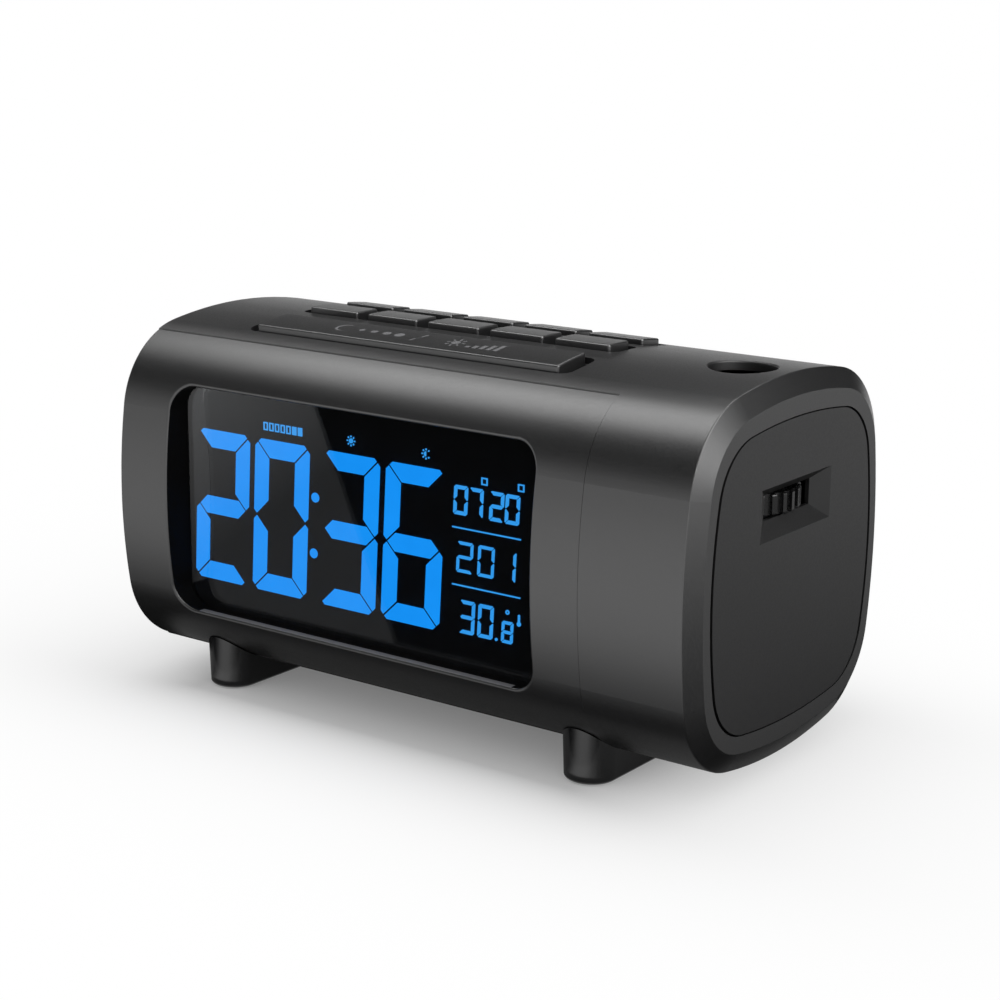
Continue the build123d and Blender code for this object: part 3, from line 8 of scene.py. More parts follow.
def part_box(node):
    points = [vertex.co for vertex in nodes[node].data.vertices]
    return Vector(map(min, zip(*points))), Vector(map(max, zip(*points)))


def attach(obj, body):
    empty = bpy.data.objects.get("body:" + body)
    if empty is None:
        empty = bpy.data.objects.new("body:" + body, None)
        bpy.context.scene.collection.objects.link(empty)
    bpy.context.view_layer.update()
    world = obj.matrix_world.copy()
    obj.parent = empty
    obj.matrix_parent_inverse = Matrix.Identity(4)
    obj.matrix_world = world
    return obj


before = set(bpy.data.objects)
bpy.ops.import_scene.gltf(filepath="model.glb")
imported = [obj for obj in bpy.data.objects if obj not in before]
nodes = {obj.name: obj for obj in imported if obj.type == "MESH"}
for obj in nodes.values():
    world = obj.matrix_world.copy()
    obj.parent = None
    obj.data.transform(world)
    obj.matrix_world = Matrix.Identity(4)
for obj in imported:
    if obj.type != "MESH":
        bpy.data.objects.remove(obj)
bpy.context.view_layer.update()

# Projection alarm clock: finishes, signs on the bar, cards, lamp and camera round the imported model.
# X runs along the case with the projector at +X, Y runs from the display to the back, Z is up.

MM = 0.001
WHITE = "ffffff"
scene = bpy.context.scene
scene.view_settings.view_transform = "Standard"

# ---------------------------------------------------------------- colours and shader nodes
# The Mix node repeats its sockets' names, so they go by number: factor, two numbers, two colours
FACTOR, NUMBER_A, NUMBER_B, COLOUR_A, COLOUR_B = 0, 2, 3, 6, 7
NUMBER_OUT, COLOUR_OUT = 0, 2
NOISE_LOW, NOISE_HIGH = 0.3, 0.7       # noise lies mostly between these
SOFT_DETAIL = 3.0                      # detail of soft clouds, streaks and haze
GRIT_STRENGTH = 0.6
MOULD_SWING = 0.04                     # how far the roughness of moulded pieces swings each way
METAL_SWING = 0.08
HAZE_MM, HAZE_SWING = 6.0, 0.015


def linear(hex_colour):
    """An sRGB hex colour, such as "1c1c1e", as linear RGBA."""
    channels = [int(hex_colour[k:k + 2], 16) / 255 for k in (0, 2, 4)]
    return [c / 12.92 if c <= 0.04045 else ((c + 0.055) / 1.055) ** 2.4 for c in channels] + [1.0]


def add_node(tree, kind, numbered=None, **settings):
    """Add a shader node. Settings are its properties or its sockets by name, and numbered has its
    sockets by number. A socket takes a plain value or the output of another node."""
    node = tree.nodes.new(kind)
    sockets = dict(numbered or {})
    for name, value in settings.items():
        if hasattr(node, name):
            setattr(node, name, value)
        else:
            sockets[name.replace("_", " ")] = value
    for socket, value in sockets.items():
        if isinstance(value, bpy.types.NodeSocket):
            tree.links.new(node.inputs[socket], value)
        else:
            node.inputs[socket].default_value = value
    return node


Parts = namedtuple("Parts", "material tree output")


def new_material(name):
    """The parts of an empty node material."""
    material = bpy.data.materials.new(name)
    material.use_nodes = True
    tree = material.node_tree
    tree.nodes.clear()
    return Parts(material, tree, tree.nodes.new("ShaderNodeOutputMaterial"))


def finished(parts, shader):
    """Link a shader to the output of a material's parts, and return the material."""
    parts.tree.links.new(parts.output.inputs["Surface"], shader)
    return parts.material


def noise(tree, size_mm, detail=2.0):
    """Noise with cells about size_mm across, fixed to the object."""
    place = add_node(tree, "ShaderNodeTexCoord").outputs["Object"]
    return add_node(tree, "ShaderNodeTexNoise", Vector=place, Scale=1 / (size_mm * MM),
                    Detail=detail).outputs["Fac"]


def between(tree, factor, dark, light):
    """A colour between two hex colours, by a factor."""
    return add_node(tree, "ShaderNodeMix", {FACTOR: factor, COLOUR_A: linear(dark), COLOUR_B: linear(light)},
                    data_type="RGBA").outputs[COLOUR_OUT]


def spread(tree, factor, low, high):
    """A number between low and high, by a factor that comes from noise."""
    return add_node(tree, "ShaderNodeMapRange", Value=factor, From_Min=NOISE_LOW, From_Max=NOISE_HIGH,
                    To_Min=low, To_Max=high).outputs["Result"]


def graded(tree, axis, from_mm, to_mm, from_level, to_level):
    """A level that goes from one to another between two places along an axis."""
    place = add_node(tree, "ShaderNodeTexCoord").outputs["Object"]
    along = add_node(tree, "ShaderNodeSeparateXYZ", Vector=place).outputs[axis]
    return add_node(tree, "ShaderNodeMapRange", Value=along, From_Min=from_mm * MM, From_Max=to_mm * MM,
                    To_Min=from_level, To_Max=to_level).outputs["Result"]


def distance_from_box(tree, centre_mm, half_mm, stretch=(1, 1, 1)):
    """How far a point lies outside a box, in metres, with each axis divided by its stretch."""
    away = add_node(tree, "ShaderNodeTexCoord").outputs["Object"]
    steps = (("SUBTRACT", Vector(centre_mm) * MM), ("ABSOLUTE", (0, 0, 0)),
             ("SUBTRACT", Vector(half_mm) * MM), ("MAXIMUM", (0, 0, 0)), ("DIVIDE", stretch))
    for operation, second in steps:
        away = add_node(tree, "ShaderNodeVectorMath", {0: away, 1: second},
                        operation=operation).outputs["Vector"]
    return add_node(tree, "ShaderNodeVectorMath", {0: away}, operation="LENGTH").outputs["Value"]


def surface(parts, colour, roughness, **sockets):
    """Finish a material as one Principled surface."""
    skin = add_node(parts.tree, "ShaderNodeBsdfPrincipled", Base_Color=colour, Roughness=roughness, **sockets)
    return finished(parts, skin.outputs["BSDF"])


# A part of a moulded piece with its own look: it lies within reach of a box, or beyond that reach,
# all in mm
Area = namedtuple("Area", "centre half reach beyond dark light roughness specular")


def moulded(name, dark, light, roughness, grit_mm=0.45, grit_depth_mm=0.01, cloud_mm=20.0, areas=(),
            specular=0.5, **sockets):
    """Moulded plastic or rubber: two close colours in soft clouds, a fine grit, and uneven gloss.

    The grit of a real mould is finer than 0.1 mm; it is drawn coarser here, so that it shows."""
    parts = new_material(name)
    tree = parts.tree
    grit = noise(tree, grit_mm)
    clouds = noise(tree, cloud_mm, SOFT_DETAIL)
    relief = add_node(tree, "ShaderNodeBump", Height=grit, Strength=GRIT_STRENGTH,
                      Distance=grit_depth_mm * MM)
    colour = between(tree, clouds, dark, light)
    gloss = spread(tree, grit, roughness - MOULD_SWING, roughness + MOULD_SWING)
    for area in areas:
        away = distance_from_box(tree, area.centre, area.half)
        inside = add_node(tree, "ShaderNodeMath", {0: away, 1: area.reach * MM},
                          operation="GREATER_THAN" if area.beyond else "LESS_THAN").outputs["Value"]
        own_colour = between(tree, clouds, area.dark, area.light)
        own_gloss = spread(tree, grit, area.roughness - MOULD_SWING, area.roughness + MOULD_SWING)
        colour = add_node(tree, "ShaderNodeMix", {FACTOR: inside, COLOUR_A: colour, COLOUR_B: own_colour},
                          data_type="RGBA").outputs[COLOUR_OUT]
        gloss = add_node(tree, "ShaderNodeMix",
                         {FACTOR: inside, NUMBER_A: gloss, NUMBER_B: own_gloss}).outputs[NUMBER_OUT]
        specular = add_node(tree, "ShaderNodeMix",
                            {FACTOR: inside, NUMBER_A: specular, NUMBER_B: area.specular}).outputs[NUMBER_OUT]
    return surface(parts, colour, gloss, Normal=relief.outputs["Normal"], Specular_IOR_Level=specular,
                   **sockets)


def metal(name, dark, light, roughness, grain_mm=0.6, squeeze=(1, 1, 1)):
    """Metal with the grain of its rolling or plating, squeezed to streaks along one axis."""
    parts = new_material(name)
    tree = parts.tree
    place = add_node(tree, "ShaderNodeTexCoord").outputs["Object"]
    squeezed = add_node(tree, "ShaderNodeMapping", Vector=place, Scale=squeeze).outputs["Vector"]
    streaks = add_node(tree, "ShaderNodeTexNoise", Vector=squeezed, Scale=1 / (grain_mm * MM),
                       Detail=SOFT_DETAIL).outputs["Fac"]
    return surface(parts, between(tree, streaks, dark, light),
                   spread(tree, streaks, roughness - METAL_SWING, roughness + METAL_SWING), Metallic=1.0)


def clear(name, tint, faint, roughness, ior):
    """Clear plastic or glass, with a trace of haze in its gloss."""
    parts = new_material(name)
    tree = parts.tree
    haze = noise(tree, HAZE_MM, SOFT_DETAIL)
    return surface(parts, between(tree, haze, tint, faint),
                   spread(tree, haze, roughness, roughness + HAZE_SWING), Transmission_Weight=1.0, IOR=ior)


def lit(name, dark, light, strength, cloud_mm):
    """A lit bar of the display: light from behind, a little uneven as a light guide gives it."""
    parts = new_material(name)
    tree = parts.tree
    glow = add_node(tree, "ShaderNodeEmission", Color=between(tree, noise(tree, cloud_mm), dark, light),
                    Strength=strength)
    return finished(parts, glow.outputs["Emission"])


# ---------------------------------------------------------------- materials
CENTRE = (0, 0, 0)
FULL = 1000                            # mm, past the whole clock
EDGE = 0.01                            # mm, reach of an area that ends where its box does
END_FACE = 92.66                       # mm, the flat ends of the case lie further out
OPENING_CENTRE = (-12.85, 0, 53.85)
OPENING_CORNER = 7.0
OPENING_CORE = (120.1 / 2 - OPENING_CORNER, FULL, 61.7 / 2 - OPENING_CORNER)
OPENING_FLOOR = OPENING_CENTRE[2] - OPENING_CORE[2] - OPENING_CORNER
WALL_SLACK = 0.06
MOUTH_CENTRE, MOUTH_REACH = (76.7, -0.5, 90), 8.8

end_faces = Area(CENTRE, (END_FACE, FULL, FULL), EDGE, beyond=True,
                 dark="19191a", light="1d1d1e", roughness=0.58, specular=0.72)
# Painted shade in the display recess: its walls are coloured near black, with almost no gloss
recess_painted_shade = Area(OPENING_CENTRE, OPENING_CORE, OPENING_CORNER + WALL_SLACK, beyond=False,
                    dark="0a0a0b", light="0c0c0d", roughness=0.6, specular=0.04)
# Painted light in the recess: a paler step along its lower edge stands in for light falling on it, and a
# light bead at its inner side is a painted highlight line
recess_painted_light_step = Area((OPENING_CENTRE[0], -48, OPENING_FLOOR), (53, 4.6, 0.3), EDGE, beyond=False,
                   dark="2a2a2b", light="2e2e2f", roughness=0.5, specular=0.3)
recess_painted_highlight_bead = Area((OPENING_CENTRE[0], -42.6, OPENING_FLOOR), (52.5, 0.9, 0.3), EDGE, beyond=False,
                   dark="77777a", light="7d7d80", roughness=0.5, specular=0.3)
# Painted shade: the inner walls of the projector's mouth are coloured near black
mouth_painted_shade = Area(MOUTH_CENTRE, (0, 0, FULL), MOUTH_REACH, beyond=False,
                   dark="060607", light="080809", roughness=0.5, specular=0.5)
# Painted shade: the end panels are coloured near black where they lie inward of the end faces, in the groove
# round them and in the thumb window
panel_hollow_painted_shade = Area(CENTRE, (END_FACE, FULL, FULL), EDGE, beyond=False,
                     dark="070708", light="09090a", roughness=0.45, specular=0.5)

# Black ABS from a finely spark-eroded mould: deep satin with broad soft highlights, matt end faces. The cover
# has painted shade in the display recess, with a painted light step and highlight line, and the case has
# painted shade in the projector's mouth
cover_abs = moulded("abs_cover_satin", "121213", "161617", 0.38, specular=0.72, IOR=1.54,
                    areas=(end_faces, recess_painted_shade, recess_painted_light_step, recess_painted_highlight_bead))
case_abs = moulded("abs_case_satin", "121213", "161617", 0.38, specular=0.72, IOR=1.54,
                   areas=(end_faces, mouth_painted_shade))
# The same ABS on the end panels, from a coarser mould: flatter, a little paler, with painted shade in its
# hollows, coloured near black
panel_abs = moulded("abs_panel_matt", "19191a", "1d1d1e", 0.58, grit_mm=0.5, grit_depth_mm=0.015,
                    areas=(panel_hollow_painted_shade,))
# The same ABS on the snooze bar and the key caps: a shade paler, with a strong sheen at a low view
bar_abs = moulded("abs_bar_satin", "171718", "1b1b1c", 0.36, specular=0.8, IOR=1.54)
key_abs = moulded("abs_key_satin", "1a1a1b", "1e1e1f", 0.36, grit_mm=0.4, specular=1.0, IOR=1.54)
# Laser-marked ABS: the signs on the snooze bar, foamed to a pale matt grey
mark_abs = moulded("abs_laser_mark", "5c5c5e", "68686a", 0.6, grit_mm=0.3, grit_depth_mm=0.02, cloud_mm=3.0)
# Polished ABS feet: near black with a crisp gloss that waves a little
foot_abs = moulded("abs_foot_polished", "0b0b0c", "0e0e0f", 0.22, grit_mm=1.2, grit_depth_mm=0.004,
                   specular=0.72, IOR=1.54)
# Acetal: near black and waxy, smooth on the focus wheel and duller on the lens barrel
wheel_acetal = moulded("acetal_wheel", "0b0b0c", "0f0f10", 0.25)
barrel_acetal = moulded("acetal_barrel", "101011", "151516", 0.5)
# Unpolished ABS and nylon of the pieces inside: plain dark grey and black with dull highlights
inner_abs = moulded("abs_inner_grey", "2b2c2e", "333437", 0.55)
inner_black = moulded("nylon_black", "161618", "1b1b1d", 0.5)
# Silicone rubber foot pads: dull and slightly dusty
pad_rubber = moulded("silicone_pad", "202021", "2a2a2b", 0.85, grit_mm=0.3, grit_depth_mm=0.02)
# Negative liquid-crystal cell behind the plate: an even dark grey that lets a trace of light through
cell_black = moulded("lcd_negative_cell", "38383b", "3e3e42", 0.6, grit_mm=2.0, grit_depth_mm=0.001,
                     cloud_mm=30.0, specular=0.0, Emission_Color=linear(WHITE), Emission_Strength=0.0027)
# Opal acrylic light guide: milky and bluish
guide_acrylic = moulded("light_guide_opal", "c9d6e2", "d7e1ea", 0.3)
# Glass-fibre boards under solder mask: dark green with a wet gloss
circuit_board = moulded("fr4_solder_mask", "0f3a22", "164a2c", 0.35, grit_mm=1.0, grit_depth_mm=0.03)
# Moulded epoxy of the components: near black and even
component_epoxy = moulded("moulded_epoxy", "17171a", "1f1f23", 0.45)
# PVC ribbon: pale grey, mottled at the 1.27 mm spacing of its wires
ribbon_pvc = moulded("pvc_ribbon", "9ea0a2", "b3b5b7", 0.4, cloud_mm=1.27)
# Pressed paper pulp of the speaker's cone: brownish black, fibrous and dull
speaker_paper = moulded("pressed_paper_pulp", "1f1e1d", "2c2a28", 0.9, grit_mm=0.6, grit_depth_mm=0.05)
# Epoxy bead of the temperature sensor: black with a small highlight
sensor_epoxy = moulded("sensor_epoxy_bead", "101012", "1a1a1d", 0.3)
# Plated and rolled metals: screws in soft bluish grey, sheet steel paler and shinier, yellow brass
screw_steel = metal("steel_zinc_plated", "9b9ea3", "c2c5c9", 0.32)
plate_steel = metal("steel_nickel_plated", "a7a8aa", "c9cacc", 0.25, squeeze=(1, 8, 1))
contact_brass = metal("spring_brass", "b08d4a", "cfae6b", 0.3, squeeze=(1, 1, 8))
# Acrylic plate over the display: faintly grey, and polished so that it mirrors like a window
plate_acrylic = clear("acrylic_display_plate", "c4c8cc", "cdd1d5", 0.0, 1.49)
# Projector optics: crown glass with a blue-violet coat, a dark blue slide, the lamp's hazy resin
lens_glass = clear("crown_glass_coated", "9fb6e6", "adc2ee", 0.0, 1.52)
slide_glass = clear("slide_glass", "3a4f78", "46608f", 0.05, 1.52)
lamp_resin = clear("led_epoxy", "dfe6f2", "eaf0f8", 0.1, 1.5)
# Lit bars: a saturated azure, the small readings a shade paler
bar_light = lit("lit_bar_azure", "148eee", "1a96f6", 1.75, 14.0)
small_light = lit("lit_bar_small_azure", "2b95e6", "3ea2ee", 1.7, 6.0)

finishes = {
    "main_shell": case_abs, "front_cover": cover_abs,
    "left_side_panel": panel_abs, "right_side_panel": panel_abs,
    "snooze_bar": bar_abs, "cell_door": case_abs,
    "left_foot": foot_abs, "right_foot": foot_abs,
    "left_foot_pad": pad_rubber, "right_foot_pad": pad_rubber,
    "display_lens": plate_acrylic, "lcd_panel": cell_black,
    "light_guide": guide_acrylic, "display_tray": inner_black,
    "time_digits": bar_light, "date_digits": small_light, "day_digits": small_light,
    "temperature_digits": small_light, "display_signs": small_light,
    "main_board": circuit_board, "key_board": circuit_board,
    "projector_board": circuit_board, "connector_board": circuit_board,
    "board_components": component_epoxy, "key_switches": component_epoxy,
    "main_board_screws": screw_steel, "key_board_screws": screw_steel,
    "display_screws": screw_steel, "projector_screws": screw_steel,
    "case_screws": screw_steel, "connector_board_screws": screw_steel,
    "key_ribbon": ribbon_pvc,
    "projector_lamp": lamp_resin, "condenser_lens": lens_glass,
    "projector_slide": slide_glass, "projector_lens": lens_glass, "rear_lens": lens_glass,
    "projector_housing": inner_abs, "projector_bridge": inner_abs,
    "lens_barrel": barrel_acetal, "focus_wheel": wheel_acetal,
    "speaker_basket": plate_steel, "speaker_cone": speaker_paper,
    "power_jack": inner_black, "usb_port": plate_steel,
    "coin_cell": plate_steel, "cell_contact": contact_brass,
    "temperature_sensor": sensor_epoxy,
}
for row in ("front", "rear"):
    for number in range(1, 6):
        finishes[f"{row}_button_{number}"] = key_abs
for name, node in nodes.items():
    node.data.materials.clear()
    node.data.materials.append(finishes[name])

# ---------------------------------------------------------------- signs on the snooze bar
# All in mm. The bar's top is a cylinder along X; the signs stand in one row along it
BAR_CURVE_CENTRE, BAR_CURVE_RADIUS = -41.2, 143.5
MARK_Y = -18.9
MARK_LIFT, MARK_DEPTH = 0.02, 0.05
# Turn in degrees to the moon's upper horn, seen from the middle of the moon and of its bite
HORN_TURN, BITE_TURN = 50, 60
MOON_X, MOON_RADIUS = -33.5, 2.6
DOTS_X, DOT_PITCH, DOT_RADIUS, DOT_GROWTH, DOT_COUNT = -27.5, 4.2, 0.85, 0.2, 4
DIVIDER_X, DIVIDER_HALF, DIVIDER_WIDTH, DIVIDER_SLANT = -8.5, 2.9, 0.6, radians(70)
LAMP_X, LAMP_RADIUS = 3.5, 1.3
RAY_NEAR, RAY_FAR, RAY_WIDTH, RAY_COUNT = 1.8, 2.9, 0.55, 8
STEPS_X, STEP_PITCH, STEP_WIDTH, STEP_DROP, STEP_COUNT = 8.5, 2.2, 1.3, 2.4, 5
STEP_HEIGHT, STEP_GROWTH = 1.2, 0.9


def disc_outline(x, y, radius, corners=20):
    """Corners of a small disc."""
    turns = [tau * k / corners for k in range(corners)]
    return [(x + radius * cos(turn), y + radius * sin(turn)) for turn in turns]


def crescent_outline(x, y, radius, corners=14):
    """Corners of a crescent moon that opens to the right."""
    outer = [radians(HORN_TURN + (360 - 2 * HORN_TURN) * k / corners) for k in range(corners + 1)]
    inner = [radians(360 - BITE_TURN - (360 - 2 * BITE_TURN) * k / corners) for k in range(corners + 1)]
    tip_x, tip_y = radius * cos(outer[0]), radius * sin(outer[0])
    bite_x = tip_x - cos(radians(BITE_TURN)) * tip_y / sin(radians(BITE_TURN))
    bite = tip_y / sin(radians(BITE_TURN))
    return ([(x + radius * cos(turn), y + radius * sin(turn)) for turn in outer]
            + [(x + bite_x + bite * cos(turn), y + bite * sin(turn)) for turn in inner[1:-1]])


def ray_outline(x, y, near, far, width, turn):
    """Corners of a straight bar that points away from a place."""
    along, across = (cos(turn), sin(turn)), (-sin(turn) * width / 2, cos(turn) * width / 2)
    return [(x + along[0] * near - across[0], y + along[1] * near - across[1]),
            (x + along[0] * far - across[0], y + along[1] * far - across[1]),
            (x + along[0] * far + across[0], y + along[1] * far + across[1]),
            (x + along[0] * near + across[0], y + along[1] * near + across[1])]


def bar_mark(name, outlines_mm):
    """Thin pale signs that lie on the snooze bar's curved top and move with it."""
    points, faces = [], []
    for outline in outlines_mm:
        first, count = len(points), len(outline)
        for lift in (MARK_LIFT, -MARK_DEPTH):
            points += [(x, y, BAR_CURVE_CENTRE + (BAR_CURVE_RADIUS ** 2 - y ** 2) ** 0.5 + lift)
                       for x, y in outline]
        faces.append(tuple(range(first, first + count)))
        faces.append(tuple(range(first + 2 * count - 1, first + count - 1, -1)))
        for k in range(count):
            after = (k + 1) % count
            faces.append((first + after, first + k, first + count + k, first + count + after))
    mesh = bpy.data.meshes.new(name)
    mesh.from_pydata([Vector(point) * MM for point in points], [], faces)
    mesh.materials.append(mark_abs)
    mark = bpy.data.objects.new(name, mesh)
    scene.collection.objects.link(mark)
    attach(mark, "snooze_bar")


bar_mark("snooze_bar_moon", [crescent_outline(MOON_X, MARK_Y, MOON_RADIUS)])
bar_mark("snooze_bar_dots", [disc_outline(DOTS_X + DOT_PITCH * k, MARK_Y, DOT_RADIUS + DOT_GROWTH * k)
                             for k in range(DOT_COUNT)])
bar_mark("snooze_bar_divider", [ray_outline(DIVIDER_X, MARK_Y, -DIVIDER_HALF, DIVIDER_HALF,
                                            DIVIDER_WIDTH, DIVIDER_SLANT)])
bar_mark("snooze_bar_lamp", [disc_outline(LAMP_X, MARK_Y, LAMP_RADIUS)]
         + [ray_outline(LAMP_X, MARK_Y, RAY_NEAR, RAY_FAR, RAY_WIDTH, tau * k / RAY_COUNT)
            for k in range(RAY_COUNT)])
bar_mark("snooze_bar_steps", [ray_outline(STEPS_X + STEP_PITCH * k, MARK_Y - STEP_DROP, 0,
                                          STEP_HEIGHT + STEP_GROWTH * k, STEP_WIDTH, pi / 2)
                              for k in range(STEP_COUNT)])

# ---------------------------------------------------------------- camera
# Seen from the front right and a little above; the angles are turns from looking along +Y
AZIMUTH = radians(36.18)
ELEVATION = radians(13.917)
ROLL = radians(0.51)
CAMERA_PLACE = Vector((329.11, -444.56, 192.66)) * MM
FOCAL_PIXELS = 2131.3
IMAGE_SIDE = 1000
CLIP_NEAR, CLIP_FAR = 0.01, 50
ahead = Vector((-sin(AZIMUTH) * cos(ELEVATION), cos(AZIMUTH) * cos(ELEVATION), -sin(ELEVATION)))
rightward = Vector((cos(AZIMUTH), sin(AZIMUTH), 0))
camera = bpy.data.objects.new("camera", bpy.data.cameras.new("camera"))
scene.collection.objects.link(camera)
camera.data.lens = FOCAL_PIXELS / IMAGE_SIDE * camera.data.sensor_width
camera.data.clip_start = CLIP_NEAR
camera.data.clip_end = CLIP_FAR
turned = Matrix.Rotation(ROLL, 3, -ahead) @ Matrix((rightward, rightward.cross(ahead), -ahead)).transposed()
camera.matrix_world = Matrix.Translation(CAMERA_PLACE) @ turned.to_4x4()
scene.camera = camera

# ---------------------------------------------------------------- floor, surround, cards and lamp
CASE_HALF_LENGTH = -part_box("front_cover")[0][0] / MM
CASE_HALF_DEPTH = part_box("main_shell")[1][1] / MM
MIDDLE = (0, 0, 55)                    # mm, what the boards and the lamp face


def stage_sheet(name, corners_mm, material, faces=None):
    """A flat stage piece from its corners, or a folded one from its corners and faces."""
    mesh = bpy.data.meshes.new(name)
    mesh.from_pydata([Vector(corner) * MM for corner in corners_mm], [], faces or [range(len(corners_mm))])
    mesh.materials.append(material)
    sheet = bpy.data.objects.new(name, mesh)
    scene.collection.objects.link(sheet)
    return sheet


def studio_card(name, corners_mm, material, faces=None):
    """A card that only shows in reflections: no camera sees it, and it casts no light or shadow."""
    card = stage_sheet(name, corners_mm, material, faces)
    for ray in ("camera", "diffuse", "shadow", "volume_scatter"):
        setattr(card, f"visible_{ray}", False)
    return card


def strip_faces(count, first=0):
    """The faces between two rows of count corners each, the second row after the first."""
    return [(k, k + 1, count + k + 1, count + k) for k in range(first, first + count - 1)]


def flat_corners(x_from, x_to, y_from, y_to, height):
    """The corners of a level rectangle."""
    return [(x_from, y_from, height), (x_to, y_from, height), (x_to, y_to, height), (x_from, y_to, height)]


def glowing_white(parts, strength, film=False):
    """Finish a material as a white glow, which is see-through where it is a film."""
    tree = parts.tree
    shader = add_node(tree, "ShaderNodeEmission", Color=linear(WHITE), Strength=strength).outputs["Emission"]
    if film:
        see_through = add_node(tree, "ShaderNodeBsdfTransparent").outputs["BSDF"]
        shader = add_node(tree, "ShaderNodeAddShader", {0: shader, 1: see_through}).outputs["Shader"]
    return finished(parts, shader)


def black_cloth(parts, gaps=None):
    """Finish a material as black cloth, with a share of gaps if it is thin."""
    tree = parts.tree
    shader = add_node(tree, "ShaderNodeBsdfDiffuse", Color=linear("050505")).outputs["BSDF"]
    if gaps is not None:
        see_through = add_node(tree, "ShaderNodeBsdfTransparent").outputs["BSDF"]
        shader = add_node(tree, "ShaderNodeMixShader", {0: gaps, 1: shader, 2: see_through}).outputs["Shader"]
    return finished(parts, shader)


def glowing_board(name, place_mm, width_mm, height_mm, strength):
    """An evenly glowing card that faces the middle of the clock."""
    place = Vector(place_mm)
    facing = (Vector(MIDDLE) - place).normalized()
    across = facing.cross((0, 0, 1)).normalized() * width_mm / 2
    upward = across.cross(facing).normalized() * height_mm / 2
    corners = [place - across - upward, place + across - upward, place + across + upward,
               place - across + upward]
    return studio_card(name, corners, glowing_white(new_material(name), strength))


def alone(node_name):
    """A collection that holds one node, for a card that is to light it alone."""
    group = bpy.data.collections.new(f"{node_name}_alone")
    group.objects.link(nodes[node_name])
    return group


def seen_directly(tree):
    """1 for camera, glossy and transmitted rays, 0 for the light that falls on things."""
    seen = 0.0
    path = add_node(tree, "ShaderNodeLightPath")
    for ray in ("Is Camera Ray", "Is Glossy Ray", "Is Transmission Ray"):
        seen = add_node(tree, "ShaderNodeMath", {0: seen, 1: path.outputs[ray]},
                        operation="MAXIMUM").outputs["Value"]
    return seen


# White paper floor: it takes the clock's soft shadow near it and is plain white further off. The
# share of plain white grows from SHARE_UNDER below the clock, by a factor e for every FADE
SHADOW_CORE = ((-7, 0, 0), (63, 42, 1))
SHADOW_STRETCH = (2, 1, 1)
SHARE_UNDER = 0.15
FADE = 20
FLOOR_HALF = 6000
floor_paper = new_material("floor_paper")
tree = floor_paper.tree
spans = add_node(tree, "ShaderNodeMath", {0: distance_from_box(tree, *SHADOW_CORE, SHADOW_STRETCH),
                                          1: -1 / (FADE * MM)}, operation="MULTIPLY")
shaded = add_node(tree, "ShaderNodeMath", {0: spans.outputs["Value"]}, operation="EXPONENT")
far_off = add_node(tree, "ShaderNodeMapRange", Value=shaded.outputs["Value"], To_Min=1.0, To_Max=SHARE_UNDER)
share = add_node(tree, "ShaderNodeMath", {0: far_off.outputs["Result"], 1: seen_directly(tree)},
                 operation="MULTIPLY")
paper = add_node(tree, "ShaderNodeBsdfDiffuse", Color=linear("f4f4f4"))
white = add_node(tree, "ShaderNodeEmission", Color=linear(WHITE), Strength=1.0)
mixed = add_node(tree, "ShaderNodeMixShader", {0: share.outputs["Value"], 1: paper.outputs["BSDF"],
                                               2: white.outputs["Emission"]})
floor = stage_sheet("floor", flat_corners(-FLOOR_HALF, FLOOR_HALF, -FLOOR_HALF, FLOOR_HALF, 0),
                    finished(floor_paper, mixed.outputs["Shader"]))

# White surround where it is seen, soft grey where it only lights the clock
SURROUND_LIGHT = 0.72
world = bpy.data.worlds.new("studio")
scene.world = world
world.use_nodes = True
tree = world.node_tree
tree.nodes.clear()
sky_level = add_node(tree, "ShaderNodeMapRange", Value=seen_directly(tree), To_Min=SURROUND_LIGHT, To_Max=1.0)
sky = add_node(tree, "ShaderNodeBackground", Color=linear(WHITE), Strength=sky_level.outputs["Result"])
tree.links.new(tree.nodes.new("ShaderNodeOutputWorld").inputs["Surface"], sky.outputs["Background"])

# Black velvet curtain behind and to the left: the top and the valley of the front stay dark in it
CURTAIN_RADIUS, CURTAIN_TOP = 1000, 1830
CURTAINS = {"rear": (42, 100, 60, 5), "left": (100, 302, 325, 16)}     # degrees from and to, hem, folds
velvet = black_cloth(new_material("black_velvet"))
for side, (turn_from, turn_to, hem, folds) in CURTAINS.items():
    bends = [radians(turn_from + (turn_to - turn_from) * k / folds) for k in range(folds + 1)]
    for k, (start, end) in enumerate(zip(bends, bends[1:])):
        fold = ((start, hem), (end, hem), (end, CURTAIN_TOP), (start, CURTAIN_TOP))
        fold_corners = [(CURTAIN_RADIUS * cos(turn), CURTAIN_RADIUS * sin(turn), height)
                        for turn, height in fold]
        studio_card(f"curtain_{side}_{k}", fold_corners, velvet)

# Black mat round the clock that thins out with distance, so that its lower edges stay dark, and a
# thin even mat under the clock
MAT_REACH, MAT_STRETCH = 420, (1.6, 1, 1)
MAT_CORE_HEIGHT = 10
MAT_HALF = 700
MAT_HEIGHT = 1
GAPS_UNDER = 0.3
MAT_STRIPS = {"front": (-MAT_HALF, MAT_HALF, -MAT_HALF, -CASE_HALF_DEPTH),
              "rear": (-MAT_HALF, MAT_HALF, CASE_HALF_DEPTH, MAT_HALF),
              "left": (-MAT_HALF, -CASE_HALF_LENGTH, -CASE_HALF_DEPTH, CASE_HALF_DEPTH),
              "right": (CASE_HALF_LENGTH, MAT_HALF, -CASE_HALF_DEPTH, CASE_HALF_DEPTH)}
parts = new_material("graded_mat")
mat_core = (CASE_HALF_LENGTH, CASE_HALF_DEPTH, MAT_CORE_HEIGHT)
away = distance_from_box(parts.tree, CENTRE, mat_core, MAT_STRETCH)
thinning = add_node(parts.tree, "ShaderNodeMapRange", Value=away, From_Max=MAT_REACH * MM)
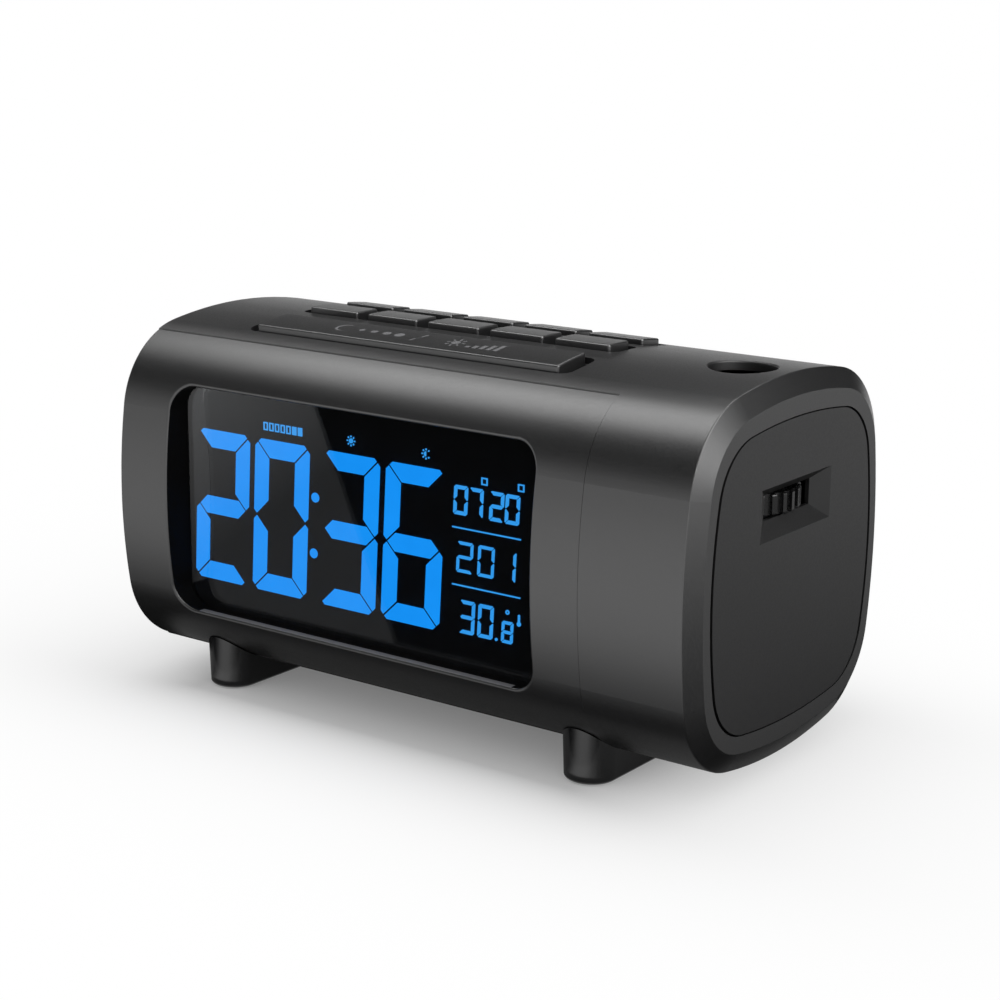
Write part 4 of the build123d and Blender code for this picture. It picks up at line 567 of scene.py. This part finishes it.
graded_mat = black_cloth(parts, thinning.outputs["Result"])
for side, sides in MAT_STRIPS.items():
    studio_card(f"mat_{side}", flat_corners(*sides, MAT_HEIGHT), graded_mat)
studio_card("mat_under", flat_corners(-CASE_HALF_LENGTH, CASE_HALF_LENGTH, -CASE_HALF_DEPTH, CASE_HALF_DEPTH,
                                      MAT_HEIGHT), black_cloth(new_material("thin_mat"), GAPS_UNDER))

# Tilted bounce board in front, dark at its near edge: the front of the case mirrors it as a band.
# It glows by its depth in steps of (y, strength), and less towards its left
BOARD_NEAR, BOARD_FAR, BOARD_LEFT, BOARD_RIGHT = -52, -1200, -1300, 600
BOARD_HEIGHT, BOARD_SLOPE = 3, 0.277
BOARD_GLOW = ((-62, 0.0), (-99, 1.57), (-249, 1.74), (-892, 0.3))
BOARD_LEFT_GLOW = (-300, 0, 0.66, 1.0)     # from and to x, from and to share


def over_board(x, y, lift=0):
    """A point on the tilted board, or lift above it."""
    return (x, y, BOARD_HEIGHT + lift + BOARD_SLOPE * (BOARD_NEAR - y))


parts = new_material("bounce_board")
strength = 0.0
for (from_y, from_level), (to_y, to_level) in zip(BOARD_GLOW, BOARD_GLOW[1:]):
    step = graded(parts.tree, "Y", from_y, to_y, 0.0, to_level - from_level)
    strength = add_node(parts.tree, "ShaderNodeMath", {0: strength, 1: step},
                        operation="ADD").outputs["Value"]
share_across = graded(parts.tree, "X", *BOARD_LEFT_GLOW)
strength = add_node(parts.tree, "ShaderNodeMath", {0: strength, 1: share_across},
                    operation="MULTIPLY").outputs["Value"]
board_corners = [over_board(BOARD_LEFT, BOARD_NEAR), over_board(BOARD_LEFT, BOARD_FAR),
                 over_board(BOARD_RIGHT, BOARD_FAR), over_board(BOARD_RIGHT, BOARD_NEAR)]
board = studio_card("bounce_board", board_corners, glowing_white(parts, strength))

# Glowing film over the board's left part, for the display plate alone: its slanting edge parts the
# plate into a grey left side and a black right side
FILM_NEAR_END, FILM_FAR_END = (-5.6, -52), (-955, -898)
FILM_LIFT = 2
FILM_GLOW = (-120, -220, 0.2, 0.8)     # from and to x, from and to strength
parts = new_material("glowing_film")
film_outline = ((BOARD_LEFT, BOARD_NEAR), (BOARD_LEFT, FILM_FAR_END[1]), FILM_FAR_END, FILM_NEAR_END)
film_corners = [over_board(x, y, FILM_LIFT) for x, y in film_outline]
plate_film = studio_card("glowing_film", film_corners,
                         glowing_white(parts, graded(parts.tree, "X", *FILM_GLOW), film=True))
only_plate = alone("display_lens")
plate_film.light_linking.receiver_collection = only_plate

# Broad white board high on the right, for the right edge of the case
side_board = glowing_board("side_board", (716, -75, 597), 720, 1070, 5.6)

# Soft lamp high behind on the right; its radiance is how bright its face looks
LAMP_PLACE = Vector((260, 560, 700)) * MM
LAMP_SIDE = 520
LAMP_RADIANCE = 3.6
lamp = bpy.data.lights.new("lamp_rear_right", "AREA")
lamp.shape = "RECTANGLE"
lamp.size = LAMP_SIDE * MM
lamp.size_y = LAMP_SIDE * MM
lamp.energy = LAMP_RADIANCE * pi * lamp.size * lamp.size_y
key_lamp = bpy.data.objects.new("lamp_rear_right", lamp)
scene.collection.objects.link(key_lamp)
key_lamp.location = LAMP_PLACE
key_lamp.rotation_euler = (Vector(MIDDLE) * MM - LAMP_PLACE).to_track_quat("-Z", "Y").to_euler()
key_lamp.visible_camera = False
key_lamp.visible_glossy = False

# White board high over the left part of the case
overhead_board = glowing_board("overhead_board", (-380, -20, 870), 500, 655, 4.9)

# Glowing fans on the floor before each foot, for that foot alone: its left front shines. The glow
# goes by the turn in degrees; where the bounce board is higher, the fan lies over it
FAN_REACHES = (8.5, 20, 300)
FAN_GLOW = ((-140, 0.0), (-125, 0.15), (-108, 0.6), (-95, 0.8),
            (-75, 0.8), (-55, 0.35), (-38, 0.08), (-25, 0.0))
FAN_HEIGHT, FAN_LIFT = 1.5, 1
parts = new_material("foot_fan")
fan_level = add_node(parts.tree, "ShaderNodeAttribute", attribute_name="fan_glow").outputs["Fac"]
foot_fan = glowing_white(parts, fan_level, film=True)
for foot_name in ("left_foot", "right_foot"):
    low, high = (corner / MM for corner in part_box(foot_name))
    hub_x, hub_y = (low.x + high.x) / 2, low.y + (high.x - low.x) / 2
    spots = [(hub_x + reach * cos(radians(turn)), hub_y + reach * sin(radians(turn)))
             for reach in FAN_REACHES for turn, _ in FAN_GLOW]
    fan_corners = [(x, y, max(FAN_HEIGHT, over_board(x, y, FAN_LIFT)[2])) for x, y in spots]
    fan = studio_card(f"fan_{foot_name}", fan_corners, foot_fan,
                      strip_faces(len(FAN_GLOW)) + strip_faces(len(FAN_GLOW), first=len(FAN_GLOW)))
    fan_glow = fan.data.attributes.new("fan_glow", "FLOAT", "POINT")
    fan_glow.data.foreach_set("value", [glow for _, glow in FAN_GLOW] * len(FAN_REACHES))
    fan.light_linking.receiver_collection = alone(foot_name)

# Glowing film along the recess's left wall and round its upper corner, so that the left edge of the
# plate mirrors the same grey. Its front edge follows the bulge of the cover
WALL_FILM_GLOW = (30, 80, 0.2, 0.9)    # from and to z, from and to strength
WALL_FILM_BACK, WALL_FILM_FRONT = -38.7, -46.6
WALL_FILM_GAP = 0.2
COVER_BULGE = 1 / 300
CORNER_TURNS = range(90, 181, 15)
WALL_HEIGHTS = (70, 60, 50, 40, 33, 26)
corner_x, corner_z = OPENING_CENTRE[0] - OPENING_CORE[0], OPENING_CENTRE[2] + OPENING_CORE[2]
wall_radius = OPENING_CORNER - WALL_FILM_GAP
wall_path = [(corner_x + wall_radius * cos(radians(turn)), corner_z + wall_radius * sin(radians(turn)))
             for turn in CORNER_TURNS]
wall_path += [(wall_path[-1][0], z) for z in WALL_HEIGHTS]
wall_corners = [(x, WALL_FILM_FRONT + COVER_BULGE * (z - MIDDLE[2]) ** 2, z) for x, z in wall_path]
wall_corners += [(x, WALL_FILM_BACK, z) for x, z in wall_path]
parts = new_material("wall_film")
wall_film = studio_card("wall_film", wall_corners,
                        glowing_white(parts, graded(parts.tree, "Z", *WALL_FILM_GLOW), film=True),
                        strip_faces(len(wall_path)))
wall_film.light_linking.receiver_collection = only_plate

# White board high behind, for views of the back
rear_board = glowing_board("rear_board", (0, 420, 795), 500, 400, 3.0)

# The boards and the lamp leave out the display and the floor: the plate mirrors the surround, the
# floor, the curtain, the mat and its own two films
kept_from_boards = bpy.data.collections.new("display_kept_from_cards")
for unlit in (nodes["display_lens"], nodes["lcd_panel"], floor):
    kept_from_boards.objects.link(unlit)
for link in kept_from_boards.collection_objects:
    link.light_linking.link_state = "EXCLUDE"
for emitter in (board, side_board, overhead_board, rear_board, key_lamp):
    emitter.light_linking.receiver_collection = kept_from_boards
